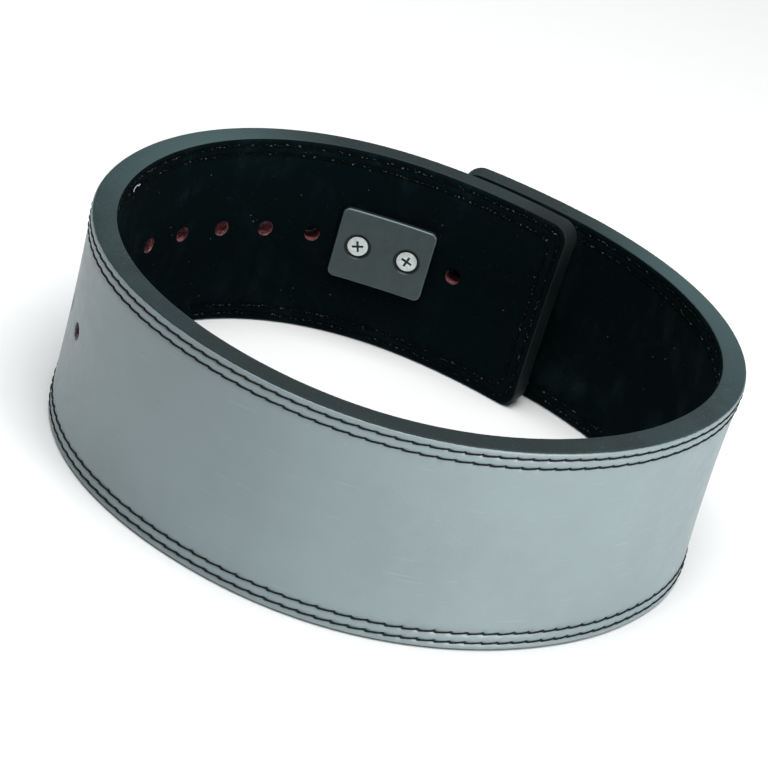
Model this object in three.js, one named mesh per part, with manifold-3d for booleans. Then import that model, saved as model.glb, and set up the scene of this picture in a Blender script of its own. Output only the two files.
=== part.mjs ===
// A stiff leather lifting belt, closed in a loop and lying on its lower edge.
// One strap of three glued layers laps over its own inner end at the back, where a lever buckle
// on the outside holds both ends. A small steel plate and two screws fix the buckle from inside.
// Millimetres, +Z up, origin under the middle of the loop, front of the belt towards -Y.

import * as THREE from 'three';
import { mergeVertices } from 'three/addons/utils/BufferGeometryUtils.js';
import Module from 'manifold-3d';

const wasm = await Module();
wasm.setup();

// Driving dimensions: the strap
const BELT_WIDTH = 101.6;
const CORE_THICKNESS = 8.3;
const FACE_THICKNESS = 1.5;
const LINING_THICKNESS = 1.1;
const SKIN_INSET = 0.7;
const EDGE_BEVEL = 0.8;
const TIP_CORNER_RADIUS = 9;
const CLEARANCE = 0.3;

// Driving dimensions: the closed loop
const WAIST_GIRTH = 803;
const INNER_TIP_BEARING = 56.3;
const LAP_RISE_LENGTH = 205;
const INNER_TIP_AIR = 5.3;
const OUTER_TIP_AIR = 3.3;

// Driving dimensions: the punched holes
const HOLE_DIAMETER = 8;
const HOLE_PITCH = 25.4;
const HOLE_COUNT = 12;
const FIRST_HOLE = 51.3;
const HOLE_ROW_RISE = 1.4;
const PRONG_HOLE_COUNT = 2;
const FIRST_PRONG_HOLE = 15;

// Driving dimensions: the plate and the screws
const CLAMPED_HOLE = 1;
const PLATE_PAST_SCREW = 11.3;
const PLATE_HEIGHT = 38;
const PLATE_THICKNESS = 2.5;
const PLATE_CORNER_RADIUS = 3.5;
const PLATE_BEND_RADIUS = 300;
const DISH_RING = 1.75;
const SCREW_HEAD_DIAMETER = 10;
const SCREW_SHANK_DIAMETER = 5;
const SCREW_HEAD_SUNK = 0.35;
const CROSS_LENGTH = 5.2;
const CROSS_WIDTH = 1;
const CROSS_DEPTH = 1;
const CROSS_TURNS = [16, -18];

// Driving dimensions: the lever buckle
const BASE_PAST_SCREW = 9.3;
const BASE_HEIGHT = 48;
const STEEL_THICKNESS = 3;
const BARREL_DIAMETER = 10;
const TIP_TO_BASE = 2.7;
const BARREL_PAST_TIP = 11.5;
const CHEEK_LENGTH = 22;
const HOOK_PAST_PRONG = 5.6;
const HOOK_HEIGHT = 38;
const PRONG_PLAY = 1;
const PRONG_REACH = 9;
const LEVER_LENGTH = 76;
const LEVER_HEIGHT = 58;
const LEVER_TIP_HEIGHT = 44;
const LEVER_TIP_AIR = 5;
const BOSS_DIAMETER = 11;
const BOSS_LENGTH = 5;
const BOSS_FLOOR = 2;

// How the loop's plan departs from a circle, as shares of its mean radius
const LOOP_WAVES = [
  { waves: 2, cosine: 0.06, sine: -0.031 },
  { waves: 3, cosine: 0.022, sine: 0.003 },
  { waves: 4, cosine: 0.008, sine: 0.006 },
  { waves: 5, cosine: 0.002, sine: -0.002 },
];

// How the wall cups outward at both edges and leans outward at the top, as shares of the belt's
// width, at even steps from the inner tip to the outer tip
const WALL_FORM = [
  { along: 0, cup: 0.012, lean: 0.01 },
  { along: 0.2, cup: 0.001, lean: 0.001 },
  { along: 0.4, cup: 0.014, lean: 0.003 },
  { along: 0.6, cup: 0.023, lean: 0 },
  { along: 0.8, cup: 0.013, lean: -0.014 },
  { along: 1, cup: 0.015, lean: -0.008 },
];

// Fineness of the faceted surfaces
const TRACE_DEGREES = 0.5;
const TRACE_MARGIN = 12;
const HEADING_REACH = 2;
const STRAP_STEPS = 66;
const PLATE_STEPS = 6;
const CORNER_STEPS = 4;
const WALL_ROWS = 3;
const HOLE_SIDES = 10;
const ROUND_SIDES = 20;

// Layers, measured out from the middle of the core
const CORE_HALF = CORE_THICKNESS / 2;
const LINING_OUT = -CORE_HALF - CLEARANCE;
const LINING_IN = LINING_OUT - LINING_THICKNESS;
const FACE_IN = CORE_HALF + CLEARANCE;
const FACE_OUT = FACE_IN + FACE_THICKNESS;
const BELT_THICKNESS = FACE_OUT - LINING_IN;

// Places along the strap, from its inner tip, and up from its lower edge
const HOLE_HEIGHT = BELT_WIDTH / 2 + HOLE_ROW_RISE;
const CLAMP_ALONG = FIRST_HOLE + (CLAMPED_HOLE + 0.5) * HOLE_PITCH;
const BASE_LENGTH = HOLE_PITCH + 2 * BASE_PAST_SCREW;
const BASE_START = CLAMP_ALONG - BASE_LENGTH / 2;
const LAP_LENGTH = BASE_START - TIP_TO_BASE;
const PLATE_LENGTH = HOLE_PITCH + 2 * PLATE_PAST_SCREW;
const HOOK_LENGTH = FIRST_PRONG_HOLE + (PRONG_HOLE_COUNT - 1) * HOLE_PITCH + HOOK_PAST_PRONG;

function roundness(bearing) {
  return LOOP_WAVES.reduce((sum, { waves, cosine, sine }) =>
    sum + cosine * Math.cos(waves * bearing) + sine * Math.sin(waves * bearing), 1);
}

function ovalPoint(bearing, radius) {
  const reach = radius * roundness(bearing);
  return new THREE.Vector2(reach * Math.cos(bearing), reach * Math.sin(bearing));
}

function ovalGirth(radius) {
  const count = Math.round(360 / TRACE_DEGREES);
  let girth = 0;
  for (let index = 0; index < count; index += 1) {
    const [here, next] = [index, index + 1].map((step) =>
      ovalPoint((step / count) * 2 * Math.PI, radius));
    girth += here.distanceTo(next);
  }
  return girth;
}

// The line of the core's middle, traced against the clock from the inner tip over the left side
// and the front to the outer tip, and a little past both. The line first follows the oval, whose
// distance is kept, and rises off it where the strap laps over its own inner end.
function traceStrap() {
  const girth = WAIST_GIRTH - 2 * Math.PI * LINING_IN;
  const radius = girth / ovalGirth(1);
  const start = THREE.MathUtils.degToRad(INNER_TIP_BEARING);
  const step = THREE.MathUtils.degToRad(TRACE_DEGREES);
  const stepsBefore = Math.ceil(TRACE_MARGIN / radius / step);
  const end = girth + LAP_LENGTH + BARREL_PAST_TIP + TRACE_MARGIN;
  const line = [];
  let distance = -ovalPoint(start, radius).distanceTo(ovalPoint(start + step, radius)) * stepsBefore;
  for (let index = -stepsBefore; distance < end; index += 1) {
    const bearing = start + index * step;
    const point = ovalPoint(bearing, radius);
    const next = ovalPoint(bearing + step, radius);
    const travel = ovalPoint(bearing - step, radius).sub(next).normalize().negate();
    const lapped = THREE.MathUtils.clamp((distance - girth) / LAP_LENGTH, 0, 1);
    const rise = THREE.MathUtils.smoothstep(distance, girth - LAP_RISE_LENGTH, girth);
    const air = THREE.MathUtils.lerp(INNER_TIP_AIR, OUTER_TIP_AIR, lapped);
    const lift = rise * (BELT_THICKNESS + air);
    line.push({ x: point.x + travel.y * lift, y: point.y - travel.x * lift, distance });
    distance += point.distanceTo(next);
  }

  let along = 0;
  line.forEach((point, index) => {
    const last = line[Math.max(index - 1, 0)];
    along += Math.hypot(point.x - last.x, point.y - last.y);
    point.along = along;
  });
  const innerTip = valueAt(line, 'distance', 0, 'along');
  line.forEach((point) => { point.along -= innerTip; });
  return { line, length: valueAt(line, 'distance', girth + LAP_LENGTH, 'along') };
}

// Reads one column of a traced line at a value of another
function valueAt(line, key, wanted, column) {
  const next = Math.max(1, line.findIndex((point) => point[key] >= wanted));
  const [low, high] = [line[next - 1], line[next]];
  return THREE.MathUtils.mapLinear(wanted, low[key], high[key], low[column], high[column]);
}

const strap = traceStrap();
const wallForm = new THREE.CatmullRomCurve3(
  WALL_FORM.map((row) => new THREE.Vector3(row.along, row.cup, row.lean)), false, 'catmullrom');

// The strap's place and heading at a length along it
function headingAt(along) {
  const before = lineAt(along - HEADING_REACH);
  const after = lineAt(along + HEADING_REACH);
  return Math.atan2(after.y - before.y, after.x - before.x);
}

function lineAt(along) {
  return new THREE.Vector2(valueAt(strap.line, 'along', along, 'x'),
    valueAt(strap.line, 'along', along, 'y'));
}

// A point of the belt: along it from the inner tip, up from its lower edge, and out from the
// middle of the core
function beltPoint(along, up, out) {
  const form = wallForm.getPoint(THREE.MathUtils.clamp(along / strap.length, 0, 1));
  const side = (2 * up) / BELT_WIDTH - 1;
  const reach = out + BELT_WIDTH * (form.z * side + form.y * side * side);
  const heading = headingAt(along);
  const place = lineAt(along);
  return new THREE.Vector3(place.x + Math.sin(heading) * reach,
    place.y - Math.cos(heading) * reach, up);
}

// A frame on the belt: X against the direction of travel, Y up, Z in towards the waist
function beltFrame(along, up) {
  const heading = headingAt(along);
  const travel = new THREE.Vector3(Math.cos(heading), Math.sin(heading), 0);
  const out = new THREE.Vector3(Math.sin(heading), -Math.cos(heading), 0);
  return new THREE.Matrix4()
    .makeBasis(travel.negate(), new THREE.Vector3(0, 0, 1), out.negate())
    .setPosition(beltPoint(along, up, 0));
}

// Solids and cuts
function closed(geometry) {
  const bare = geometry.clone();
  bare.deleteAttribute('normal');
  bare.deleteAttribute('uv');
  return mergeVertices(bare);
}

function solid(geometry) {
  const merged = closed(geometry);
  return new wasm.Manifold(new wasm.Mesh({
    numProp: 3,
    vertProperties: new Float32Array(merged.attributes.position.array),
    triVerts: new Uint32Array(merged.index.array),
  }));
}

function surface(body) {
  const mesh = body.getMesh();
  const geometry = new THREE.BufferGeometry();
  geometry.setAttribute('position', new THREE.BufferAttribute(mesh.vertProperties, 3));
  geometry.setIndex(new THREE.BufferAttribute(mesh.triVerts, 1));
  geometry.computeVertexNormals();
  return geometry;
}

// A closed body through rings of points, with its two ends filled from their middles
function loft(rings) {
  const size = rings[0].length;
  const points = rings.flat();
  const triangles = [];
  for (let ring = 0; ring + 1 < rings.length; ring += 1) {
    for (let corner = 0; corner < size; corner += 1) {
      const [a, b] = [ring * size + corner, ring * size + ((corner + 1) % size)];
      triangles.push(a, a + size, b, b, a + size, b + size);
    }
  }
  [0, rings.length - 1].forEach((ring) => {
    const middle = points.length;
    points.push(rings[ring].reduce((sum, point) => sum.add(point), new THREE.Vector3())
      .divideScalar(size));
    for (let corner = 0; corner < size; corner += 1) {
      const [a, b] = [ring * size + corner, ring * size + ((corner + 1) % size)];
      triangles.push(middle, ...(ring === 0 ? [a, b] : [b, a]));
    }
  });
  const geometry = new THREE.BufferGeometry().setFromPoints(points);
  geometry.setIndex(triangles);
  return solid(geometry);
}

// Lengths along a strip, with how far its four round corners draw its edges in at each
function corneredStrip(start, end, radius, steps) {
  const corner = Array.from({ length: CORNER_STEPS }, (unused, index) => {
    const turn = (index / CORNER_STEPS) * (Math.PI / 2);
    return { past: radius * (1 - Math.cos(turn)), drawn: radius * (1 - Math.sin(turn)) };
  });
  const straight = Array.from({ length: steps + 1 }, (unused, index) => (
    { along: THREE.MathUtils.lerp(start + radius, end - radius, index / steps), drawn: 0 }));
  return [
    ...corner.map(({ past, drawn }) => ({ along: start + past, drawn })),
    ...straight,
    ...corner.map(({ past, drawn }) => ({ along: end - past, drawn })).reverse(),
  ];
}

// One layer of the strap, between two offsets from the core's middle
function layer(inner, outer, inset, bevel) {
  const stations = corneredStrip(inset, strap.length - inset, TIP_CORNER_RADIUS - inset,
    STRAP_STEPS);
  return loft(stations.map(({ along, drawn }) => {
    const low = inset + drawn;
    const high = BELT_WIDTH - inset - drawn;
    const rows = Array.from({ length: WALL_ROWS + 2 }, (unused, index) =>
      THREE.MathUtils.lerp(low + bevel, high - bevel, index / (WALL_ROWS + 1)));
    const outline = rows.map((up) => [up, outer]);
    if (bevel > 0) outline.push([high, outer - bevel], [high, inner + bevel]);
    outline.push(...rows.toReversed().map((up) => [up, inner]));
    if (bevel > 0) outline.push([low, inner + bevel], [low, outer - bevel]);
    return outline.map(([up, out]) => beltPoint(along, up, out));
  }));
}

function holeAlong(index) {
  return FIRST_HOLE + index * HOLE_PITCH;
}

function prongAlong(index) {
  return strap.length - FIRST_PRONG_HOLE - index * HOLE_PITCH;
}

// A round bar through the belt's wall, square to it, between two offsets from the core's middle
function wallBar(along, diameter, inner, outer, sides) {
  const bar = new THREE.CylinderGeometry(diameter / 2, diameter / 2, outer - inner, sides);
  bar.rotateX(Math.PI / 2).translate(0, 0, -(inner + outer) / 2);
  return solid(bar.applyMatrix4(beltFrame(along, HOLE_HEIGHT)));
}

function punched(body) {
  const holes = Array.from({ length: HOLE_COUNT }, (unused, index) => holeAlong(index));
  const prongHoles = Array.from({ length: PRONG_HOLE_COUNT }, (unused, index) => prongAlong(index));
  return [...holes, ...prongHoles].reduce((left, along) => left.subtract(
    wallBar(along, HOLE_DIAMETER, LINING_IN - CLEARANCE, FACE_OUT + CLEARANCE, HOLE_SIDES)), body);
}

// The plate and the screws share one frame, square to the belt halfway between the two screws
const clampFrame = beltFrame(CLAMP_ALONG, HOLE_HEIGHT);

// The plate is bowed about an upright line: its back lies this far nearer the waist, sideways
function plateBow(sideways) {
  return PLATE_BEND_RADIUS - Math.sqrt(PLATE_BEND_RADIUS ** 2 - sideways ** 2);
}

// How far the plate's back lies inside the core's middle, so that its ends just clear the lining
function plateBack() {
  const intoClamp = clampFrame.clone().invert();
  const edges = [-1, 1].flatMap((end) => [-1, 0, 1].map((side) =>
    beltPoint(CLAMP_ALONG - (end * PLATE_LENGTH) / 2, HOLE_HEIGHT + (side * PLATE_HEIGHT) / 2,
      LINING_IN - CLEARANCE).applyMatrix4(intoClamp)));
  return Math.max(...edges.map(({ x, z }) => z - plateBow(x)));
}

const plateDepth = plateBack();

// A frame on the plate's bowed front, Z in towards the waist
function plateFrame(sideways) {
  const tilt = Math.asin(sideways / PLATE_BEND_RADIUS);
  return clampFrame.clone()
    .multiply(new THREE.Matrix4().makeTranslation(sideways, 0, plateDepth + plateBow(sideways)))
    .multiply(new THREE.Matrix4().makeRotationY(-tilt))
    .multiply(new THREE.Matrix4().makeTranslation(0, 0, PLATE_THICKNESS));
}

function screwFrame(index) {
  return plateFrame((index - 0.5) * HOLE_PITCH);
}

// A turned body about a frame's Z, from pairs of radius and height, foot to head
function turned(profile, frame) {
  const lathe = new THREE.LatheGeometry(
    profile.map(([radius, height]) => new THREE.Vector2(radius, height)), ROUND_SIDES);
  return solid(lathe.rotateX(Math.PI / 2).applyMatrix4(frame));
}

const SHANK_RADIUS = SCREW_SHANK_DIAMETER / 2;
const SHANK_HOLE_RADIUS = SHANK_RADIUS + CLEARANCE;
const HEAD_RADIUS = SCREW_HEAD_DIAMETER / 2;
const DISH_RADIUS = HEAD_RADIUS + DISH_RING;

// Heights in a screw's frame, below the plate's front
const baseInside = -(plateDepth + PLATE_THICKNESS + FACE_OUT + CLEARANCE);
const bossEnd = baseInside - STEEL_THICKNESS - BOSS_LENGTH;
const screwHoleEnd = bossEnd + BOSS_FLOOR;

// The countersunk dish under a screw's head, and the hole below it
function dishCutter(index) {
  const proud = 1;
  return turned([
    [0, -PLATE_THICKNESS - proud], [SHANK_HOLE_RADIUS, -PLATE_THICKNESS - proud],
    [SHANK_HOLE_RADIUS, -PLATE_THICKNESS], [DISH_RADIUS, 0], [DISH_RADIUS, proud], [0, proud],
  ], screwFrame(index));
}

function screwSolid(index) {
  const slope = (DISH_RADIUS - SHANK_HOLE_RADIUS) / PLATE_THICKNESS;
  const rim = CLEARANCE * Math.hypot(1, 1 / slope) - DISH_RING / slope;
  const cone = rim - (HEAD_RADIUS - SHANK_RADIUS) / slope;
  const tip = screwHoleEnd + CLEARANCE;
  const blank = turned([
    [0, tip], [SHANK_RADIUS, tip], [SHANK_RADIUS, cone], [HEAD_RADIUS, rim],
    [HEAD_RADIUS, -SCREW_HEAD_SUNK], [0, -SCREW_HEAD_SUNK],
  ], screwFrame(index));
  return [0, 90].reduce((left, quarter) => {
    const slot = new THREE.BoxGeometry(CROSS_LENGTH, CROSS_WIDTH, 2 * CROSS_DEPTH);
    slot.rotateZ(THREE.MathUtils.degToRad(CROSS_TURNS[index] + quarter));
    slot.translate(0, 0, -SCREW_HEAD_SUNK).applyMatrix4(screwFrame(index));
    return left.subtract(solid(slot));
  }, blank);
}

function plateSolid() {
  const half = PLATE_LENGTH / 2;
  const stations = corneredStrip(-half, half, PLATE_CORNER_RADIUS, PLATE_STEPS);
  const slab = loft(stations.map(({ along, drawn }) => {
    const side = PLATE_HEIGHT / 2 - drawn;
    return [[-side, -PLATE_THICKNESS], [side, -PLATE_THICKNESS], [side, 0], [-side, 0]]
      .map(([up, depth]) => new THREE.Vector3(0, up, depth).applyMatrix4(plateFrame(-along)));
  }));
  return [0, 1].reduce((left, index) => left.subtract(dishCutter(index)), slab);
}

// A steel plate that follows the belt between two lengths along it. Each end gives its place, its
// height across the belt and the offset of its inner side.
function bentPlate(from, to) {
  return loft(Array.from({ length: PLATE_STEPS + 1 }, (unused, index) => {
    const [along, tall, inner] = ['along', 'tall', 'inner'].map((key) =>
      THREE.MathUtils.lerp(from[key], to[key], index / PLATE_STEPS));
    const [low, high] = [HOLE_HEIGHT - tall / 2, HOLE_HEIGHT + tall / 2];
    const outer = inner + STEEL_THICKNESS;
    return [[low, outer], [high, outer], [high, inner], [low, inner]]
      .map(([up, out]) => beltPoint(along, up, out));
  }));
}

// Where a point stands on the inner run: its length along the belt and its offset
function onInnerRun(point) {
  let along = LAP_LENGTH;
  let local = null;
  for (let pass = 0; pass < 6; pass += 1) {
    local = point.clone().applyMatrix4(beltFrame(along, HOLE_HEIGHT).invert());
    along -= local.x;
  }
  return { along, out: -local.z };
}

// The buckle is one solid: a base under the screws with a boss for each, two cheeks, a barrel past
// the outer tip, a hook over the outer end with prongs in its holes, and the closed lever
function buckleSolid() {
  const seat = FACE_OUT + CLEARANCE;
  const base = bentPlate({ along: BASE_START, tall: BASE_HEIGHT, inner: seat },
    { along: BASE_START + BASE_LENGTH, tall: BASE_HEIGHT, inner: seat });

  const hookRoot = strap.length + BARREL_PAST_TIP;
  const hook = bentPlate({ along: strap.length - HOOK_LENGTH, tall: HOOK_HEIGHT, inner: seat },
    { along: hookRoot, tall: HOOK_HEIGHT, inner: seat });
  const steelMiddle = seat + STEEL_THICKNESS / 2;
  const prongs = Array.from({ length: PRONG_HOLE_COUNT }, (unused, index) =>
    wallBar(prongAlong(index), HOLE_DIAMETER - 2 * PRONG_PLAY, steelMiddle - PRONG_REACH,
      steelMiddle, HOLE_SIDES));

  const pivot = beltPoint(hookRoot, HOLE_HEIGHT, steelMiddle);
  const barrel = solid(new THREE.CylinderGeometry(BARREL_DIAMETER / 2, BARREL_DIAMETER / 2,
    BASE_HEIGHT, ROUND_SIDES).rotateX(Math.PI / 2).translate(...pivot));
  const cheekPlan = new THREE.Shape([
    beltPoint(BASE_START, HOLE_HEIGHT, steelMiddle),
    beltPoint(BASE_START + CHEEK_LENGTH, HOLE_HEIGHT, steelMiddle), pivot,
  ].map(({ x, y }) => new THREE.Vector2(x, y)));
  const cheeks = [-BASE_HEIGHT / 2, BASE_HEIGHT / 2 - STEEL_THICKNESS].map((side) =>
    solid(new THREE.ExtrudeGeometry(cheekPlan, { depth: STEEL_THICKNESS, bevelEnabled: false })
      .translate(0, 0, HOLE_HEIGHT + side)));

  const pivotSeat = onInnerRun(pivot);
  const lever = bentPlate(
    { along: pivotSeat.along, tall: LEVER_HEIGHT, inner: pivotSeat.out - STEEL_THICKNESS / 2 },
    { along: pivotSeat.along + LEVER_LENGTH, tall: LEVER_TIP_HEIGHT, inner: seat + LEVER_TIP_AIR });

  const bossRoot = baseInside - STEEL_THICKNESS / 2;
  const bosses = [0, 1].map((index) => turned([
    [0, bossEnd], [BOSS_DIAMETER / 2, bossEnd], [BOSS_DIAMETER / 2, bossRoot], [0, bossRoot],
  ], screwFrame(index)));
  const screwHoles = [0, 1].map((index) => turned([
    [0, screwHoleEnd], [SHANK_HOLE_RADIUS, screwHoleEnd], [SHANK_HOLE_RADIUS, 0], [0, 0],
  ], screwFrame(index)));

  const joined = [hook, ...prongs, barrel, ...cheeks, lever, ...bosses]
    .reduce((whole, piece) => whole.add(piece), base);
  return screwHoles.reduce((left, hole) => left.subtract(hole), joined);
}

// Materials
const material = (color, roughness, metalness = 0) =>
  new THREE.MeshStandardMaterial({ color, roughness, metalness });
const edgeBlack = material(0x1b2224, 0.6);
const greyLeather = material(0x93a0a3, 0.45);
const blackSuede = material(0x080b0d, 0.95);
const blackSteel = material(0x3b4446, 0.45, 0.6);
const zincSteel = material(0xcdd6d3, 0.3, 0.8);
const satinSteel = material(0x14171a, 0.4, 0.7);

function named(name, body, look) {
  const mesh = new THREE.Mesh(surface(body), look);
  mesh.name = name;
  return mesh;
}

const belt = new THREE.Group();
belt.add(
  named('leather_core', punched(layer(-CORE_HALF, CORE_HALF, 0, EDGE_BEVEL)), edgeBlack),
  named('outer_face', punched(layer(FACE_IN, FACE_OUT, SKIN_INSET, 0)), greyLeather),
  named('suede_lining', punched(layer(LINING_IN, LINING_OUT, SKIN_INSET, 0)), blackSuede),
  named('backing_plate', plateSolid(), blackSteel),
  named('screw_left', screwSolid(0), zincSteel),
  named('screw_right', screwSolid(1), zincSteel),
  named('lever_buckle', buckleSolid(), satinSteel),
);

// The origin goes under the middle of the whole belt
const bounds = new THREE.Box3().setFromObject(belt);
const middle = bounds.getCenter(new THREE.Vector3());
belt.position.set(-middle.x, -middle.y, -bounds.min.z);

export default belt;
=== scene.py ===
# A stiff leather lifting belt, closed in a loop and lying on its lower edge.
# The strap is laid out flat, as along, up and out, and then bent into the loop that its solids
# have: smooth grey leather outside, black suede inside, black painted edges, two rows of black
# stitches round the whole strap, punched holes, a small plate with two screws and a lever buckle.

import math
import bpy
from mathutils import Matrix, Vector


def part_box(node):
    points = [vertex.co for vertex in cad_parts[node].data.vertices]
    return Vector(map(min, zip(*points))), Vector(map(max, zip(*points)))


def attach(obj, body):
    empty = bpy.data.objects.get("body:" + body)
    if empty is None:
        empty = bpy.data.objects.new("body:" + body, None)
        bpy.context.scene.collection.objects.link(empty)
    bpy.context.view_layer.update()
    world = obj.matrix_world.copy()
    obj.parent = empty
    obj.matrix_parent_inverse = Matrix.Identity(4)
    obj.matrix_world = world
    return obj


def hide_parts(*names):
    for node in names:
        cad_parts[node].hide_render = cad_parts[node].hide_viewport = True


bl_info = {
    "name": "Lifting Belt",
    "version": (1, 0, 0),
    "blender": (4, 5, 0),
    "location": "3D View > Sidebar > Lifting Belt",
    "description": "Dresses a lever-buckled leather lifting belt, piece by piece",
    "category": "Add Mesh",
}

from types import SimpleNamespace

import bmesh
import bpy
import numpy as np
from bpy.props import FloatProperty, FloatVectorProperty, IntProperty, PointerProperty
from mathutils import Matrix, Vector

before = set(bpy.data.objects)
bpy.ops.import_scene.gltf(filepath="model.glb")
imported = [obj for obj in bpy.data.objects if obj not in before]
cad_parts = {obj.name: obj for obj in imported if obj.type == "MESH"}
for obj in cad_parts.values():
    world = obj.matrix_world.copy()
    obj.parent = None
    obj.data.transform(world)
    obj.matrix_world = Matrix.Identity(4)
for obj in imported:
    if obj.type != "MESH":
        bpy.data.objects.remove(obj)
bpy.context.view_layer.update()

BODY = "root"
MM = 0.001


# Sizes and colours that a user would change

def length(name, description, millimetres):
    return FloatProperty(name=name, description=description, default=millimetres * MM,
                         unit="LENGTH", precision=5)


def angle(name, description, degrees):
    return FloatProperty(name=name, description=description, default=math.radians(degrees),
                         subtype="ANGLE")


def count(name, description, default):
    return IntProperty(name=name, description=description, default=default, min=1)


def colour(name, description, default):
    return FloatVectorProperty(name=name, description=description, default=default, size=3,
                               subtype="COLOR", min=0.0, max=1.0)


class StrapSizes(bpy.types.PropertyGroup):
    """The strap's three layers and its closed loop"""
    width: length("Width", "Height of the strap as it lies",
                  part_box("leather_core")[1][2] / MM)
    core_thickness: length("Core", "Thickness of the sole leather", 8.3)
    face_thickness: length("Face", "Thickness of the grey leather", 1.5)
    lining_thickness: length("Lining", "Thickness of the suede", 1.1)
    clearance: length("Clearance", "Gap between neighbours", 0.3)
    edge_bevel: length("Edge bevel", "Bevel of the solid core", 0.8)
    tip_corner: length("Tip corner", "Radius of the tips' corners", 9.0)
    waist_girth: length("Waist girth", "Length round the inside", 803.0)
    inner_tip_bearing: angle("Inner tip", "Bearing of the inner tip from +X", 56.3)
    lap_rise: length("Lap rise", "Length over which the outer end lifts off the oval", 205.0)
    inner_tip_air: length("Air at the inner tip", "Gap under the outer end there", 5.3)
    outer_tip_air: length("Air at the outer tip", "Gap under the outer end there", 3.3)


class HoleSizes(bpy.types.PropertyGroup):
    """The punched holes"""
    diameter: length("Diameter", "Width of a hole", 8.0)
    pitch: length("Pitch", "From hole to hole", 25.4)
    count: count("Holes", "Number of holes from the inner tip", 12)
    first: length("First hole", "From the inner tip to the first hole", 51.3)
    row_rise: length("Row rise", "Height of the row over the strap's middle", 1.4)
    prong_count: count("Prong holes", "Number of holes at the outer tip", 2)
    first_prong: length("First prong hole", "From the outer tip to its first hole", 15.0)


class StitchSizes(bpy.types.PropertyGroup):
    """The two rows of stitches round the strap"""
    first_row: length("First row", "From the strap's edge to the outer row", 4.0)
    second_row: length("Second row", "From the strap's edge to the inner row", 8.6)
    pitch: length("Stitch length", "From needle hole to needle hole", 7.0)
    thread: length("Thread", "Thickness of the thread", 0.84)
    arch: length("Arch", "Height of a stitch's middle over the leather", 0.16)
    dive: length("Dive", "Depth of a stitch's ends under the leather", 0.4)
    slant: length("Slant", "How far a stitch leans across its row", 0.62)
    dimple: length("Dimple", "Depth of the leather at a needle hole", 0.8)
    groove: length("Groove", "Depth of the leather along a row", 0.2)


class ClampSizes(bpy.types.PropertyGroup):
    """The plate inside and its two screws"""
    clamped_hole: count("Clamped hole", "The plate lies between this hole and the next", 1)
    past_screw: length("Past screw", "From a screw to the plate's end", 11.3)
    height: length("Height", "Height of the plate", 38.0)
    thickness: length("Thickness", "Thickness of the plate", 2.5)
    corner: length("Corner", "Radius of the plate's corners", 3.5)
    bend: length("Bend", "Radius that the plate is bowed to", 300.0)
    dish_ring: length("Dish ring", "Width of the dish round a screw's head", 1.8)
    head: length("Head", "Diameter of a screw's head", 10.2)
    shank: length("Shank", "Diameter of a screw's shank", 5.0)
    sunk: length("Sunk", "Depth of a head under the plate's face", 0.35)
    cross_length: length("Cross length", "Length of a screw's cross recess", 5.7)
    cross_width: length("Cross width", "Width of its wings", 1.15)
    cross_depth: length("Cross depth", "Depth of the recess", 1.9)
    left_turn: angle("Left turn", "Turn of the left screw's cross", 16.0)
    right_turn: angle("Right turn", "Turn of the right screw's cross", -18.0)


class BuckleSizes(bpy.types.PropertyGroup):
    """The closed lever buckle outside"""
    base_past_screw: length("Base past screw", "From a screw to the base's end", 9.3)
    base_height: length("Base height", "Height of the base", 48.0)
    steel: length("Steel", "Thickness of the sheet steel", 3.0)
    barrel: length("Barrel", "Diameter of the pivot barrel", 10.0)
    tip_to_base: length("Tip to base", "From the outer tip to the base", 2.7)
    barrel_past_tip: length("Barrel past tip", "From the outer tip to the pivot", 11.5)
    cheek: length("Cheek", "Length of a cheek along the base", 22.0)
    hook_past_prong: length("Hook past prong", "From the last prong to the hook's end", 5.6)
    hook_height: length("Hook height", "Height of the hook plate", 38.0)
    prong_play: length("Prong play", "Gap round a prong in its hole", 1.0)
    prong_reach: length("Prong reach", "Depth of a prong", 9.0)
    lever_length: length("Lever length", "From the pivot to the lever's tip", 76.0)
    lever_height: length("Lever height", "Height of the lever at the pivot", 58.0)
    lever_tip_height: length("Lever tip height", "Height of the lever at its tip", 44.0)
    lever_tip_air: length("Lever tip air", "Gap under the lever's tip", 5.0)
    boss: length("Boss", "Diameter of a screw's boss", 11.0)
    boss_length: length("Boss length", "Length of a boss past the base", 5.0)


class Colours(bpy.types.PropertyGroup):
    """Colours of the finishes"""
    face: colour("Face", "Grey leather", (0.161, 0.211, 0.221))
    edge: colour("Edge", "Black edge paint", (0.0155, 0.0275, 0.029))
    suede: colour("Suede", "Black suede", (0.0011, 0.0032, 0.0037))
    nap: colour("Nap", "Suede brushed the other way", (0.006, 0.0135, 0.0145))
    raw: colour("Raw", "Raw leather in the holes", (0.28, 0.105, 0.118))
    cut: colour("Cut", "Cut grey leather in the holes", (0.2, 0.19, 0.18))
    thread: colour("Thread", "Black waxed thread", (0.006, 0.0085, 0.0095))
    plate: colour("Plate", "Grey-black coat of the plate", (0.041, 0.062, 0.064))
    zinc: colour("Zinc", "Pale zinc of the screws", (0.74, 0.82, 0.8))
    buckle: colour("Buckle", "Black coat of the buckle", (0.016, 0.018, 0.02))
    lint: colour("Lint", "Pale specks on the suede", (0.42, 0.5, 0.48))
    floor: colour("Floor", "Pale floor", (0.86, 0.87, 0.87))


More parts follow.
